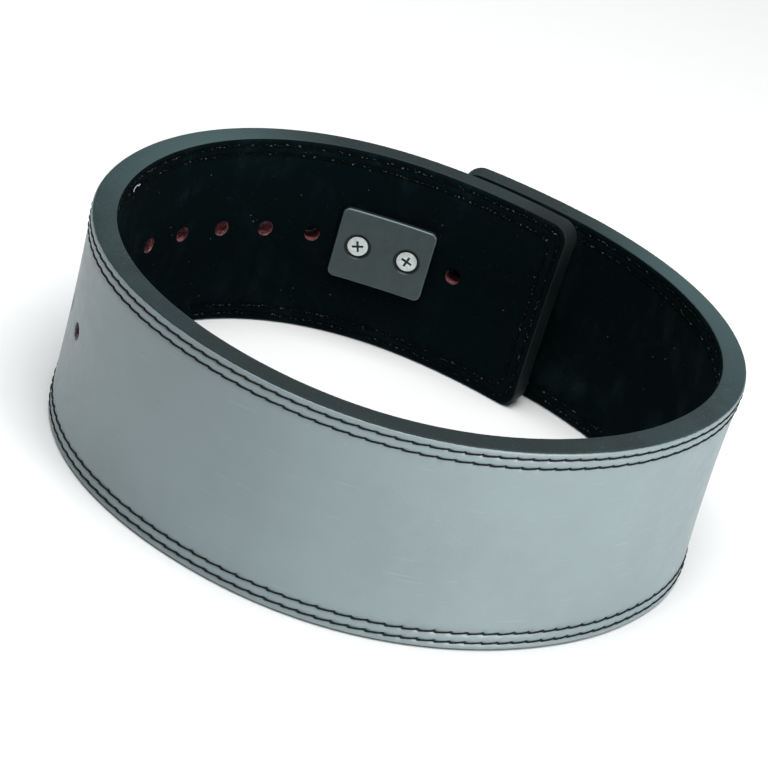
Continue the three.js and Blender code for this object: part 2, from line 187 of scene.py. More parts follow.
class StageSettings(bpy.types.PropertyGroup):
    """The camera and the light"""
    aim: FloatVectorProperty(name="Aim", description="Point in the middle of the view", size=3,
                             default=(-0.00468, -0.01607, 0.0508), subtype="TRANSLATION",
                             unit="LENGTH")
    distance: length("Distance", "From the camera to that point", 1202.75)
    elevation: angle("Elevation", "Height of the camera over the floor", 28.56)
    roll: angle("Roll", "Turn of the camera about its view", 16.8)
    focal: FloatProperty(name="Focal length", description="Of the lens, in millimetres",
                         default=125.04)
    floor_size: length("Floor", "Side of the floor", 8000.0)
    sky: FloatProperty(name="Sky", description="Strength of the even light", default=0.2)


GROUPS = {
    "belt_strap": StrapSizes,
    "belt_holes": HoleSizes,
    "belt_stitches": StitchSizes,
    "belt_clamp": ClampSizes,
    "belt_buckle": BuckleSizes,
    "belt_colours": Colours,
    "belt_stage": StageSettings,
}

# How the loop's plan departs from a circle, as shares of its mean radius
LOOP_WAVES = (
    SimpleNamespace(waves=2, cosine=0.06, sine=-0.031),
    SimpleNamespace(waves=3, cosine=0.022, sine=0.003),
    SimpleNamespace(waves=4, cosine=0.008, sine=0.006),
    SimpleNamespace(waves=5, cosine=0.002, sine=-0.002),
)

# How the wall cups and leans outward, as shares of the width, at even steps along the strap
WALL_CUP = (0.012, 0.001, 0.014, 0.023, 0.013, 0.015)
WALL_LEAN = (0.01, 0.001, 0.003, 0.0, -0.014, -0.008)

# Fineness of the frame's own solid core, which tells where the loop stands
SOLID_STEPS = 66
SOLID_ROWS = 5
TRACE_STEP = math.radians(0.1)
TRACE_MARGIN = 14 * MM
TRACE_SPARE = 1.1
HEADING_REACH = 2 * MM


def smooth(value):
    """Eases a value from 0 to 1."""
    value = np.clip(value, 0.0, 1.0)
    return value * value * (3.0 - 2.0 * value)


def bump_at(distance, spread):
    """A soft bell of height 1."""
    return np.exp(-(distance / spread) ** 2)


def catmull(values, at):
    """A curve through even steps of values, read at shares of its length."""
    values = np.array(values)
    ends = (2 * values[0] - values[1], 2 * values[-1] - values[-2])
    padded = np.concatenate(([ends[0]], values, [ends[1]]))
    place = np.clip(at, 0.0, 1.0) * (len(values) - 1)
    index = np.minimum(place.astype(int), len(values) - 2)
    t = place - index
    p0, p1, p2, p3 = (padded[index + step] for step in range(4))
    m1 = (p2 - p0) / 2
    m2 = (p3 - p1) / 2
    return ((2 * p1 - 2 * p2 + m1 + m2) * t ** 3 + (-3 * p1 + 3 * p2 - 2 * m1 - m2) * t ** 2
            + m1 * t + p1)


class BeltLine:
    """The middle of the core traced round the loop, and the way from flat to bent places."""

    def __init__(self, scene):
        strap = scene.belt_strap
        holes = scene.belt_holes
        clamp = scene.belt_clamp
        buckle = scene.belt_buckle
        self.width = strap.width
        self.core_half = strap.core_thickness / 2
        self.lining_out = -self.core_half - strap.clearance
        self.lining_in = self.lining_out - strap.lining_thickness
        self.face_in = self.core_half + strap.clearance
        self.face_out = self.face_in + strap.face_thickness
        self.hole_height = strap.width / 2 + holes.row_rise
        self.clamp_along = holes.first + (clamp.clamped_hole + 0.5) * holes.pitch
        self.base_length = holes.pitch + 2 * buckle.base_past_screw
        self.base_start = self.clamp_along - self.base_length / 2
        lap = self.base_start - buckle.tip_to_base
        self.lap_length = lap
        self.trace(strap, lap)
        self.hole_places = [holes.first + index * holes.pitch for index in range(holes.count)]
        self.prong_places = [self.length - holes.first_prong - index * holes.pitch
                             for index in range(holes.prong_count)]
        self.centre = np.zeros(2)
        self.centre = self.find_centre(strap)

    def trace(self, strap, lap):
        """Walks the oval from the inner tip, and lifts the line where the strap laps."""
        girth = strap.waist_girth - 2 * math.pi * self.lining_in
        full_turn = np.linspace(0, 2 * math.pi, round(2 * math.pi / TRACE_STEP) + 1)
        radius = girth / np.hypot(*np.diff(self.oval(full_turn, 1.0), axis=0).T).sum()
        margin = math.ceil(TRACE_MARGIN / radius / TRACE_STEP)
        last = 2 * math.pi + (lap + 2 * TRACE_MARGIN) / radius * TRACE_SPARE
        steps = np.arange(-margin, math.ceil(last / TRACE_STEP))
        bearing = strap.inner_tip_bearing + steps * TRACE_STEP
        oval = self.oval(bearing, radius)
        travel = self.oval(bearing + TRACE_STEP, radius) - self.oval(bearing - TRACE_STEP, radius)
        travel /= np.hypot(*travel.T)[:, None]
        distance = self.walked(oval)
        distance -= distance[margin]
        lapped = np.clip((distance - girth) / lap, 0.0, 1.0)
        rise = smooth((distance - girth + strap.lap_rise) / strap.lap_rise)
        air = strap.inner_tip_air + (strap.outer_tip_air - strap.inner_tip_air) * lapped
        lift = rise * (self.face_out - self.lining_in + air)
        self.line = oval + lift[:, None] * np.stack([travel[:, 1], -travel[:, 0]], axis=1)
        self.along = self.walked(self.line)
        self.along -= np.interp(0.0, distance, self.along)
        self.length = np.interp(girth + lap, distance, self.along)

    @staticmethod
    def oval(bearing, radius):
        reach = radius * (1 + sum(wave.cosine * np.cos(wave.waves * bearing)
                                  + wave.sine * np.sin(wave.waves * bearing)
                                  for wave in LOOP_WAVES))
        return np.stack([reach * np.cos(bearing), reach * np.sin(bearing)], axis=1)

    @staticmethod
    def walked(points):
        return np.concatenate(([0.0], np.cumsum(np.hypot(*np.diff(points, axis=0).T))))

    def find_centre(self, strap):
        """The plan place of the oval's own middle, found from the frame's core."""
        bevel = strap.edge_bevel
        corner = strap.tip_corner
        along = np.linspace(corner, self.length - corner, SOLID_STEPS + 1)
        up = np.linspace(bevel, self.width - bevel, SOLID_ROWS)
        flat = [axis.ravel() for axis in np.meshgrid(along, up, [-self.core_half, self.core_half])]
        plan = self.point(*flat)[:, :2]
        low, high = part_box("leather_core")
        box_centre = (np.array(low[:2]) + np.array(high[:2])) / 2
        return box_centre - (plan.min(axis=0) + plan.max(axis=0)) / 2

    def place(self, along):
        return np.stack([np.interp(along, self.along, self.line[:, axis]) for axis in (0, 1)],
                        axis=-1)

    def heading(self, along):
        """The direction of travel in plan, as unit vectors."""
        step = self.place(along + HEADING_REACH) - self.place(along - HEADING_REACH)
        return step / np.hypot(step[..., 0], step[..., 1])[..., None]

    def point(self, along, up, out):
        """Bends flat places into the loop."""
        along, up, out = np.broadcast_arrays(*(np.asarray(axis, float) for axis in (along, up, out)))
        at = along / self.length
        side = 2 * up / self.width - 1
        reach = out + self.width * (catmull(WALL_LEAN, at) * side + catmull(WALL_CUP, at) * side ** 2)
        travel = self.heading(along)
        outward = np.stack([travel[..., 1], -travel[..., 0]], axis=-1)
        plan = self.place(along) + outward * reach[..., None] + self.centre
        return np.concatenate([plan, up[..., None]], axis=-1)

    def frame_at(self, along, up):
        """X against the travel, Y up, Z in towards the waist, at the middle of the core."""
        travel = self.heading(np.array(along))
        outward = np.array([travel[1], -travel[0], 0.0])
        frame_here = np.eye(4)
        frame_here[:3, 0] = (-travel[0], -travel[1], 0.0)
        frame_here[:3, 1] = (0.0, 0.0, 1.0)
        frame_here[:3, 2] = -outward
        frame_here[:3, 3] = self.point(along, up, 0.0)
        return frame_here


class ClampPlate:
    """The bowed plate's place: sideways, up and out of its face, in the frame of the clamp."""

    def __init__(self, scene, line):
        self.clamp = scene.belt_clamp
        self.half_length = scene.belt_holes.pitch / 2 + self.clamp.past_screw
        self.half_pitch = scene.belt_holes.pitch / 2
        self.frame = line.frame_at(line.clamp_along, line.hole_height)
        ends, sides = np.meshgrid([-1, 1], [-1, 0, 1])
        edges = line.point(line.clamp_along - ends.ravel() * self.half_length,
                           line.hole_height + sides.ravel() * self.clamp.height / 2,
                           line.lining_in - scene.belt_strap.clearance)
        local = (edges - self.frame[:3, 3]) @ self.frame[:3, :3]
        self.depth = np.max(local[:, 2] - self.bow(local[:, 0]))

    def bow(self, sideways):
        return self.clamp.bend - np.sqrt(self.clamp.bend ** 2 - sideways ** 2)

    def point(self, sideways, up, proud):
        """A place by its distance in front of the plate's face."""
        tilt = np.arcsin(sideways / self.clamp.bend)
        reach = self.clamp.thickness + proud
        local = np.stack([sideways - reach * np.sin(tilt), up + 0 * sideways,
                          self.depth + self.bow(sideways) + reach * np.cos(tilt)], axis=-1)
        return local @ self.frame[:3, :3].T + self.frame[:3, 3]

    def screw_frame(self, index):
        """The frame of a screw on the plate's face, 0 left and 1 right."""
        sideways = (2 * index - 1) * self.half_pitch
        tilt = math.asin(sideways / self.clamp.bend)
        turn = np.array([[math.cos(tilt), 0, -math.sin(tilt)], [0, 1, 0],
                         [math.sin(tilt), 0, math.cos(tilt)]])
        frame_here = np.eye(4)
        frame_here[:3, :3] = self.frame[:3, :3] @ turn
        frame_here[:3, 3] = self.point(np.array(sideways), 0.0, 0.0)
        return frame_here


# Flat sheets, and closed bodies made of two of them

def split(start, end, step):
    """Even places from start up to end, without end, no more than a step apart."""
    pieces = max(1, math.ceil((end - start) / step - 0.001))
    return np.linspace(start, end, pieces, endpoint=False)


def lines_through(start, end, step, centres, half, parts):
    """Grid lines from start to end, with even lines across the patch round each centre."""
    lines = []
    at = start
    for centre in sorted(centres):
        lines += [split(at, centre - half, step), np.linspace(centre - half, centre + half, parts,
                                                              endpoint=False)]
        at = centre + half
    return np.append(np.concatenate(lines + [split(at, end, step)]), end)


def refined(lines, times):
    steps = np.arange((len(lines) - 1) * times + 1) / times
    return np.interp(steps, np.arange(len(lines)), lines)


def zipped(outer, inner):
    """Faces between a fine row and the row inside it, with as many points or twice the steps."""
    if len(outer) == len(inner):
        return list(zip(outer[:-1], outer[1:], inner[1:], inner[:-1]))
    faces = []
    for index in range(len(inner) - 1):
        a, b, c = outer[2 * index:2 * index + 3]
        d, e = inner[index:index + 2]
        faces += [(a, b, d), (b, e, d), (b, c, e)]
    return faces


ARC_PARTS = 8
LINE_SLACK = MM / 100


def corner_arc(middle, radius, first_turn):
    turn = first_turn + np.linspace(0, math.pi / 2, ARC_PARTS + 1)
    return np.stack([middle[0] + radius * np.cos(turn), middle[1] + radius * np.sin(turn)], axis=1)


def sheet(columns, rows, inset, corner, offsets, holes=(), fine=1):
    """A flat rectangle with round corners as points and faces. Its middle is a grid, its border a
    frame of lines at even distances from the outline, and each hole a patch of rings."""
    left, right = columns[0] - inset, columns[-1] + inset
    low, high = rows[0] - inset, rows[-1] + inset
    grid = np.stack(np.meshgrid(columns, rows, indexing="ij"), axis=-1).reshape(-1, 2)
    index = np.arange(len(grid)).reshape(len(columns), len(rows))
    edge = np.minimum.reduce([grid[:, 0] - left, right - grid[:, 0],
                              grid[:, 1] - low, high - grid[:, 1]])
    points, edges, total = [grid], [edge], len(grid)
    open_cells = np.ones((len(columns) - 1, len(rows) - 1), bool)
    faces, rims = [], []
    for hole in holes:
        reach = np.array([-hole.half, hole.half]) - LINE_SLACK
        i = np.searchsorted(columns, hole.at[0] + reach)
        k = np.searchsorted(rows, hole.at[1] + reach)
        open_cells[i[0]:i[1], k[0]:k[1]] = False
        before = np.concatenate([index[i[0]:i[1], k[0]], index[i[1], k[0]:k[1]],
                                 index[i[1]:i[0]:-1, k[1]], index[i[0], k[1]:k[0]:-1]])
        away = grid[before] - hole.at
        away /= np.hypot(*away.T)[:, None]
        for radius in hole.rings:
            points.append(hole.at + away * radius)
            edges.append(np.full(len(away), inset))
            ring = np.arange(total, total + len(away))
            total += len(away)
            faces += zip(before, np.roll(before, -1), np.roll(ring, -1), ring)
            before = ring
        rims.append(before)
    cells = [index[:-1, :-1], index[1:, :-1], index[1:, 1:], index[:-1, 1:]]
    faces += zip(*(cell[open_cells] for cell in cells))

    fine_columns, fine_rows = refined(columns, fine), refined(rows, fine)
    runs = (len(fine_columns), ARC_PARTS + 1, len(fine_rows), ARC_PARTS + 1) * 2
    turns = {"low_right": -math.pi / 2, "high_right": 0, "high_left": math.pi / 2,
             "low_left": math.pi}
    middles = {"low_right": (right - corner, low + corner),
               "high_right": (right - corner, high - corner),
               "high_left": (left + corner, high - corner),
               "low_left": (left + corner, low + corner)}
    loops = []
    for offset in offsets:
        arcs = {key: corner_arc(middles[key], corner - offset, turns[key]) for key in turns}
        bottom = np.stack([fine_columns, np.full(len(fine_columns), low + offset)], axis=1)
        side = np.stack([np.full(len(fine_rows), right - offset), fine_rows], axis=1)
        top = np.stack([fine_columns[::-1], np.full(len(fine_columns), high - offset)], axis=1)
        back = np.stack([np.full(len(fine_rows), left + offset), fine_rows[::-1]], axis=1)
        loop = np.concatenate([bottom, arcs["low_right"], side, arcs["high_right"],
                               top, arcs["high_left"], back, arcs["low_left"]])
        points.append(loop)
        edges.append(np.full(len(loop), offset))
        loops.append(np.arange(total, total + len(loop)))
        total += len(loop)
    for outer, inner in zip(loops[:-1], loops[1:]):
        faces += zip(outer, np.roll(outer, -1), np.roll(inner, -1), inner)
    borders = (index[:, 0], index[-1, :], index[::-1, -1], index[0, ::-1])
    starts = np.concatenate(([0], np.cumsum(runs)))
    last = loops[-1]
    for number, border in enumerate(borders):
        first, arc, after = starts[2 * number:2 * number + 3]
        faces += zipped(last[first:arc], border)
        fan = np.append(last[arc - 1:after], last[after % len(last)])
        faces += [(a, b, border[-1]) for a, b in zip(fan[:-1], fan[1:])]
    return SimpleNamespace(flat=np.concatenate(points), edge=np.concatenate(edges), faces=faces,
                           outline=loops[0], rims=rims)


def hole_reach(flat, holes):
    """Distance of each flat point from the middle of the nearest hole."""
    reach = np.full(len(flat), 1.0)
    for hole in holes:
        reach = np.minimum(reach, np.hypot(*(flat - hole.at).T))
    return reach


# Angles, in degrees, past which an edge is drawn sharp
LEATHER_SHARP = 50
THREAD_SHARP = 60
STEEL_SHARP = 35
PLATE_SHARP = 28
MERGE_REACH = MM / 1000


class Body:
    """Gathers closed shells with their materials and flat places, and makes one object."""

    def __init__(self):
        self.points, self.faces, self.looks, self.flat, self.rim = [], [], [], [], []
        self.total = 0

    def add(self, points, faces, looks=None, flat=None, rim=None):
        self.points.append(points)
        self.faces += [tuple(int(corner) + self.total for corner in face) for face in faces]
        self.looks += [0] * len(faces) if looks is None else looks
        self.flat.append(np.zeros((len(points), 3)) if flat is None else flat)
        self.rim.append(np.ones((len(points), 3)) if rim is None else rim)
        self.total += len(points)

    def slab(self, front, front_points, back, back_points, holes=(), wall=0):
        """One closed shell of two sheets, joined along the outline and through each hole."""
        shift = len(front_points)
        faces = list(front.faces) + [tuple(corner + shift for corner in face[::-1])
                                     for face in back.faces]
        looks = [0] * len(faces)
        rings = [(front.outline, back.outline + shift, 0)]
        rings += [(a, b + shift, wall) for a, b in zip(front.rims, back.rims)]
        for ahead, behind, finish in rings:
            quads = list(zip(ahead, behind, np.roll(behind, -1), np.roll(ahead, -1)))
            faces += quads
            looks += [finish] * len(quads)
        flat = np.concatenate([front.flat, back.flat])
        edge = np.concatenate([front.edge, back.edge])
        reach = hole_reach(flat, holes)
        self.add(np.concatenate([front_points, back_points]), faces, looks,
                 np.column_stack([flat, np.zeros(len(flat))]),
                 np.column_stack([edge, reach, np.zeros(len(flat))]))

    def turned(self, profile, frame_here, sides):
        """A shell turned about a frame's Z from pairs of radius and height, foot to head."""
        turn = np.linspace(0, 2 * math.pi, sides, endpoint=False)
        circle = np.stack([np.cos(turn), np.sin(turn)], axis=1)
        rings = [np.column_stack([circle * radius, np.full(sides, height)])
                 for radius, height in profile]
        foot, head = profile[0][1], profile[-1][1]
        local = np.concatenate(rings + [np.array([[0, 0, foot], [0, 0, head]])])
        last = len(rings) - 1
        faces = []
        for ring in range(last):
            a = np.arange(sides) + ring * sides
            b = np.roll(a, -1)
            faces += zip(a, b, b + sides, a + sides)
        around = np.arange(sides)
        faces += [(b, a, last * sides + sides) for a, b in zip(around, np.roll(around, -1))]
        around = around + last * sides
        faces += [(a, b, last * sides + sides + 1) for a, b in zip(around, np.roll(around, -1))]
        self.add(local @ frame_here[:3, :3].T + frame_here[:3, 3], faces)

    def tube(self, core, radius, sides=6):
        """A thin shell along a free course of points."""
        run = np.gradient(core, axis=0)
        run /= np.linalg.norm(run, axis=1)[:, None]
        wide = np.cross(run, (0.0, 0.0, 1.0))
        wide /= np.linalg.norm(wide, axis=1)[:, None]
        tall = np.cross(wide, run)
        turn = np.linspace(0, 2 * math.pi, sides, endpoint=False)
        points = (core[:, None] + radius * (wide[:, None] * np.cos(turn)[:, None]
                                            + tall[:, None] * np.sin(turn)[:, None]))
        faces = [tuple(range(sides))[::-1], tuple(range((len(core) - 1) * sides, len(core) * sides))]
        for ring in range(len(core) - 1):
            a = np.arange(sides) + ring * sides
            b = np.roll(a, -1)
            faces += zip(a, b, b + sides, a + sides)
        self.add(points.reshape(-1, 3), faces)

    def prism(self, outline, low, high, bevel):
        """An upright shell over a plan outline, with bevelled rims."""
        centre = outline.mean(axis=0)
        away = outline - centre
        inner = centre + away * (1 - bevel / np.hypot(*away.T).mean())
        layers = ((inner, low), (outline, low + bevel), (outline, high - bevel), (inner, high))
        points = np.concatenate([np.column_stack([plan, np.full(len(plan), height)])
                                 for plan, height in layers])
        size = len(outline)
        faces = [tuple(range(size))[::-1], tuple(range(3 * size, 4 * size))]
        for layer in range(3):
            a = np.arange(size) + layer * size
            b = np.roll(a, -1)
            faces += zip(a, b, b + size, a + size)
        self.add(points, faces)

    def make(self, name, finishes, sharp=LEATHER_SHARP):
        mesh = bpy.data.meshes.new(name)
        mesh.from_pydata(np.concatenate(self.points), [], self.faces)
        mesh.attributes.new("flat", "FLOAT_VECTOR", "POINT").data.foreach_set(
            "vector", np.concatenate(self.flat).astype(np.float32).ravel())
        mesh.attributes.new("rim", "FLOAT_VECTOR", "POINT").data.foreach_set(
            "vector", np.concatenate(self.rim).astype(np.float32).ravel())
        mesh.polygons.foreach_set("material_index", self.looks)
        for finish in finishes:
            mesh.materials.append(finish)
        work = bmesh.new()
        work.from_mesh(mesh)
        bmesh.ops.remove_doubles(work, verts=work.verts, dist=MERGE_REACH)
        bmesh.ops.recalc_face_normals(work, faces=work.faces)
        work.to_mesh(mesh)
        work.free()
        mesh.shade_smooth()
        mesh.set_sharp_from_angle(angle=math.radians(sharp))
        piece = bpy.data.objects.new(name, mesh)
        bpy.context.scene.collection.objects.link(piece)
        return piece


def seat(piece, slot, *nodes):
    """Seats a finished piece on the body, in place of the frame's nodes."""
    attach(piece, BODY)
    if nodes:
        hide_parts(*nodes)


# The strap's layers

FRAME_INSET = 9 * MM
EDGE_FINENESS = 2
PATCH_HALF = 5.6 * MM
PATCH_PARTS = 10
FACE_STEP = 1.95 * MM
FACE_ROW = 2.7 * MM
CORE_ROW = 7.5 * MM
SKIN_START = 0.75 * MM
SHOULDER = 0.8 * MM
LIP_CROWN = 0.36 * MM
LIP_CORNER = 0.42 * MM
LIP_TUCK = 0.2 * MM
LIP_UNDER_FACE = 0.55 * MM
LIP_UNDER_LINING = 0.35 * MM
GLUE_LINE = 0.06 * MM
SWELL = 0.07 * MM
SKIN_SWELL = 0.5


def strap_holes(line, rings):
    return [SimpleNamespace(at=np.array([along, line.hole_height]), half=PATCH_HALF, rings=rings)
            for along in line.hole_places + line.prong_places]


def strap_sheet(line, strap, offsets, row_step, holes):
    places = line.hole_places + line.prong_places
    columns = lines_through(FRAME_INSET, line.length - FRAME_INSET, FACE_STEP, places,
                            PATCH_HALF, PATCH_PARTS)
    rows = lines_through(FRAME_INSET, line.width - FRAME_INSET, row_step, [line.hole_height],
                         PATCH_HALF, PATCH_PARTS)
    return sheet(columns, rows, FRAME_INSET, strap.tip_corner, offsets, holes, EDGE_FINENESS)


def swell(flat):
    """The slow unevenness of thick leather, as a few long waves that cross."""
    along, up = flat.T / MM
    return SWELL * (np.sin(along / 31 + np.sin(up / 23) * 1.3) + np.sin(along / 17 - up / 29)
                    + 0.6 * np.sin(along / 9.5 + up / 11 + 2 * np.sin(along / 53)))


ROW_CORNER = 6.0 * MM
STITCH_SEED = 11
STITCH_UNEVEN = 0.035
STITCH_STRAY = 0.07 * MM


def row_loop(line, strap, offset):
    """The closed line of a row inside the strap's outline, and its length."""
    radius = max(strap.tip_corner - offset, ROW_CORNER)
    near = offset + radius
    high = line.width - near
    far = line.length - near
    arcs = [corner_arc(middle, radius, turn) for middle, turn in (
        ((far, near), -math.pi / 2), ((far, high), 0),
        ((near, high), math.pi / 2), ((near, near), math.pi))]
    loop = np.concatenate(arcs + [arcs[0][:1]])
    return loop, np.concatenate(([0.0], np.cumsum(np.hypot(*np.diff(loop, axis=0).T))))


def needle_holes(line, scene):
    """The needle holes of both rows, in order round the strap."""
    sizes = scene.belt_stitches
    chance = np.random.default_rng(STITCH_SEED)
    rows = []
    for offset in (sizes.first_row, sizes.second_row):
        loop, walked = row_loop(line, scene.belt_strap, offset)
        number = round(walked[-1] / sizes.pitch)
        at = (np.arange(number) + chance.normal(0, STITCH_UNEVEN, number) + chance.random()) / number
        at = np.sort(at % 1.0) * walked[-1]
        row = np.stack([np.interp(at, walked, loop[:, axis]) for axis in (0, 1)], axis=1)
        rows.append(row + chance.normal(0, STITCH_STRAY, row.shape))
    return rows


def nearest(flat, targets, reach):
    """Distance from each flat point to the nearest target, where it is within reach."""
    order = np.argsort(targets[:, 0])
    targets = targets[order]
    found = np.full(len(flat), 1.0)
    start = np.searchsorted(targets[:, 0], flat[:, 0] - reach)
    stop = np.searchsorted(targets[:, 0], flat[:, 0] + reach)
    most = int((stop - start).max())
    for step in range(most):
        pick = np.minimum(start + step, len(targets) - 1)
        gap = np.hypot(*(flat - targets[pick]).T)
        found = np.where(start + step < stop, np.minimum(found, gap), found)
    return found


DIMPLE_SPREAD = 0.95 * MM
GROOVE_SPREAD = 0.6 * MM
PUFF = 0.1 * MM
PUFF_AWAY = 1.6 * MM
PUFF_SPREAD = 1.1 * MM
NEEDLE_REACH = 3 * MM
FACE_RIM = SimpleNamespace(sink=0.3 * MM, spread=0.8 * MM)
LINING_RIM = SimpleNamespace(sink=0.2 * MM, spread=0.5 * MM)


def skin_relief(layout, scene, needle_rows, holes, hole_rim):
    """How far the visible side of a skin lies under its full thickness."""
    sizes = scene.belt_stitches
    radius = scene.belt_holes.diameter / 2
    rise = np.clip((layout.edge - SKIN_START) / SHOULDER, 0.0, 1.0)
    sunk = SHOULDER * (1 - np.sqrt(1 - (1 - rise) ** 2))
    for offset, row in zip((sizes.first_row, sizes.second_row), needle_rows):
        across = layout.edge - offset
        sunk += sizes.groove * bump_at(across, GROOVE_SPREAD)
        for beside in (across - PUFF_AWAY, across + PUFF_AWAY):
            sunk -= PUFF * bump_at(beside, PUFF_SPREAD)
        near = nearest(layout.flat, row, NEEDLE_REACH)
        sunk += (sizes.dimple - sizes.groove) * bump_at(near, DIMPLE_SPREAD)
    reach = hole_reach(layout.flat, holes)
    sunk += hole_rim.sink * bump_at(np.maximum(reach - radius, 0), hole_rim.spread)
    return sunk


# Distances from the strap's outline and from a hole's wall, in millimetres
SKIN_OFFSETS = (0.75, 0.79, 0.88, 1.04, 1.26, 1.55, 2.2, 2.9, 3.4, 3.7, 4.0, 4.3, 4.6, 5.1, 5.8,
                6.6, 7.4, 7.9, 8.3, 8.6, 8.85)
SKIN_BACK_OFFSETS = (0.75, 8.85)
RIM_WIDTHS = (1.3, 0.8, 0.45, 0.2, 0.06, 0.0)


def skin(body, scene, line, side):
    """The grey face, side 1, or the suede, side -1, as one closed shell."""
    radius = scene.belt_holes.diameter / 2
    holes = strap_holes(line, [radius + width * MM for width in RIM_WIDTHS])
    back_holes = strap_holes(line, [radius])
    strap = scene.belt_strap
    front = strap_sheet(line, strap, [offset * MM for offset in SKIN_OFFSETS], FACE_ROW, holes)
    back = strap_sheet(line, strap, [offset * MM for offset in SKIN_BACK_OFFSETS], FACE_ROW,
                       back_holes)
    rows = needle_holes(line, scene)
    if side > 0:
        sunk = skin_relief(front, scene, rows, holes, FACE_RIM)
        outer, inner = line.face_out, line.core_half + GLUE_LINE
    else:
        sunk = skin_relief(front, scene, rows, holes, LINING_RIM)
        outer, inner = line.lining_in, -line.core_half - GLUE_LINE
    out = outer + side * (swell(front.flat) * SKIN_SWELL - sunk)
    front_points = line.point(front.flat[:, 0], front.flat[:, 1], out)
    back_points = line.point(back.flat[:, 0], back.flat[:, 1], inner)
    body.slab(front, front_points, back, back_points, holes, wall=1)


LIP_SHARES = (0, 0.2, 0.4, 0.58, 0.74, 0.86, 0.92, 0.96, 0.985, 1.0)
LIP_STEP = 0.1 * MM
LIP_INNER = 8.7 * MM


def lip_profile(line):
    """The painted edge's section: distances from the crest and offsets, for both sides."""
    top, bottom = line.face_out - LIP_UNDER_FACE, line.lining_in + LIP_UNDER_LINING
    middle, half = (top + bottom) / 2, (top - bottom) / 2
    share_out = np.array(LIP_SHARES)
    turn = 1 - LIP_CORNER / half
    past = np.clip((share_out - turn) / (1 - turn), 0, 1)
    drop = LIP_CROWN * share_out ** 2 + LIP_CORNER * (1 - np.sqrt(1 - past ** 2))
    offsets = np.concatenate([drop, [drop[-1] + 0.5 * LIP_TUCK, drop[-1] + LIP_TUCK, LIP_INNER]])
    outs = [np.concatenate([middle + side * half * share_out,
                            [middle + side * (half - LIP_STEP)], [side * line.core_half] * 2])
            for side in (1, -1)]
    return offsets, outs


THREAD_RINGS = 10
THREAD_SIDES = 8
THREAD_CROWDING = 0.75
ARCH_FLATNESS = 3.2
TWIST_DEPTH = 0.12
TWIST_TURNS = 2.5
THREAD_WAIST = 0.95
THREAD_END = 0.5
END_SHARPNESS = 6
THREAD_HEIGHT = 0.85


def thread_shell(starts, ends, line, side, level, sizes):
    """Curved, twisted stitches between needle holes, as points and faces of one mesh."""
    rings, sides = THREAD_RINGS, THREAD_SIDES
    radius = sizes.thread / 2
    step = ends - starts
    across = np.stack([-step[:, 1], step[:, 0]], axis=1) / np.hypot(*step.T)[:, None]
    t = np.linspace(0, 1, rings)
    t = 0.5 + 0.5 * np.sign(t - 0.5) * np.abs(2 * t - 1) ** THREAD_CROWDING
    lean = sizes.slant * (t - 0.5)
    flat = (starts[:, None] + step[:, None] * t[None, :, None]
            + across[:, None] * lean[None, :, None])
    height = -sizes.dive + (sizes.arch + sizes.dive) * (1 - np.abs(2 * t - 1) ** ARCH_FLATNESS)
    out = level + side * np.broadcast_to(height, flat.shape[:2])
    core = line.point(flat[..., 0], flat[..., 1], out)
    above = line.point(flat[..., 0], flat[..., 1], out + side * MM) - core
    run = np.gradient(core, axis=1)
    run /= np.linalg.norm(run, axis=2)[..., None]
    wide = np.cross(run, above)
    wide /= np.linalg.norm(wide, axis=2)[..., None]
    tall = np.cross(wide, run)
    turn = np.linspace(0, 2 * math.pi, sides, endpoint=False)
    twist = 1 + TWIST_DEPTH * np.cos(2 * turn[None, :] - 2 * math.pi * TWIST_TURNS * t[:, None])
    taper = (THREAD_WAIST + THREAD_END * np.abs(2 * t - 1) ** END_SHARPNESS)[:, None]
    around = (radius * twist * taper)[None, :, :, None]
    ring = (core[:, :, None] + around * (wide[:, :, None] * np.cos(turn)[:, None]
                                         + THREAD_HEIGHT * tall[:, :, None]
                                         * np.sin(turn)[:, None]))
    points = ring.reshape(-1, 3)
    first = np.arange(len(starts)) * rings * sides
    a = (np.arange(rings - 1)[:, None] * sides + np.arange(sides)).ravel()
    b = (np.arange(rings - 1)[:, None] * sides + (np.arange(sides) + 1) % sides).ravel()
    quads = np.stack([a, b, b + sides, a + sides], axis=1)
    quads = (quads[None] + first[:, None, None]).reshape(-1, 4)
    foot = (np.arange(sides)[::-1][None] + first[:, None])
    head = (np.arange(sides)[None] + first[:, None] + (rings - 1) * sides)
    faces = [tuple(face) for face in quads.tolist() + foot.tolist() + head.tolist()]
    return points, faces


def stitches(body, scene, line, side):
    level = line.face_out if side > 0 else line.lining_in
    for row in needle_holes(line, scene):
        points, faces = thread_shell(row, np.roll(row, -1, axis=0), line, side, level,
                                     scene.belt_stitches)
        body.add(points, faces)


# Finishes

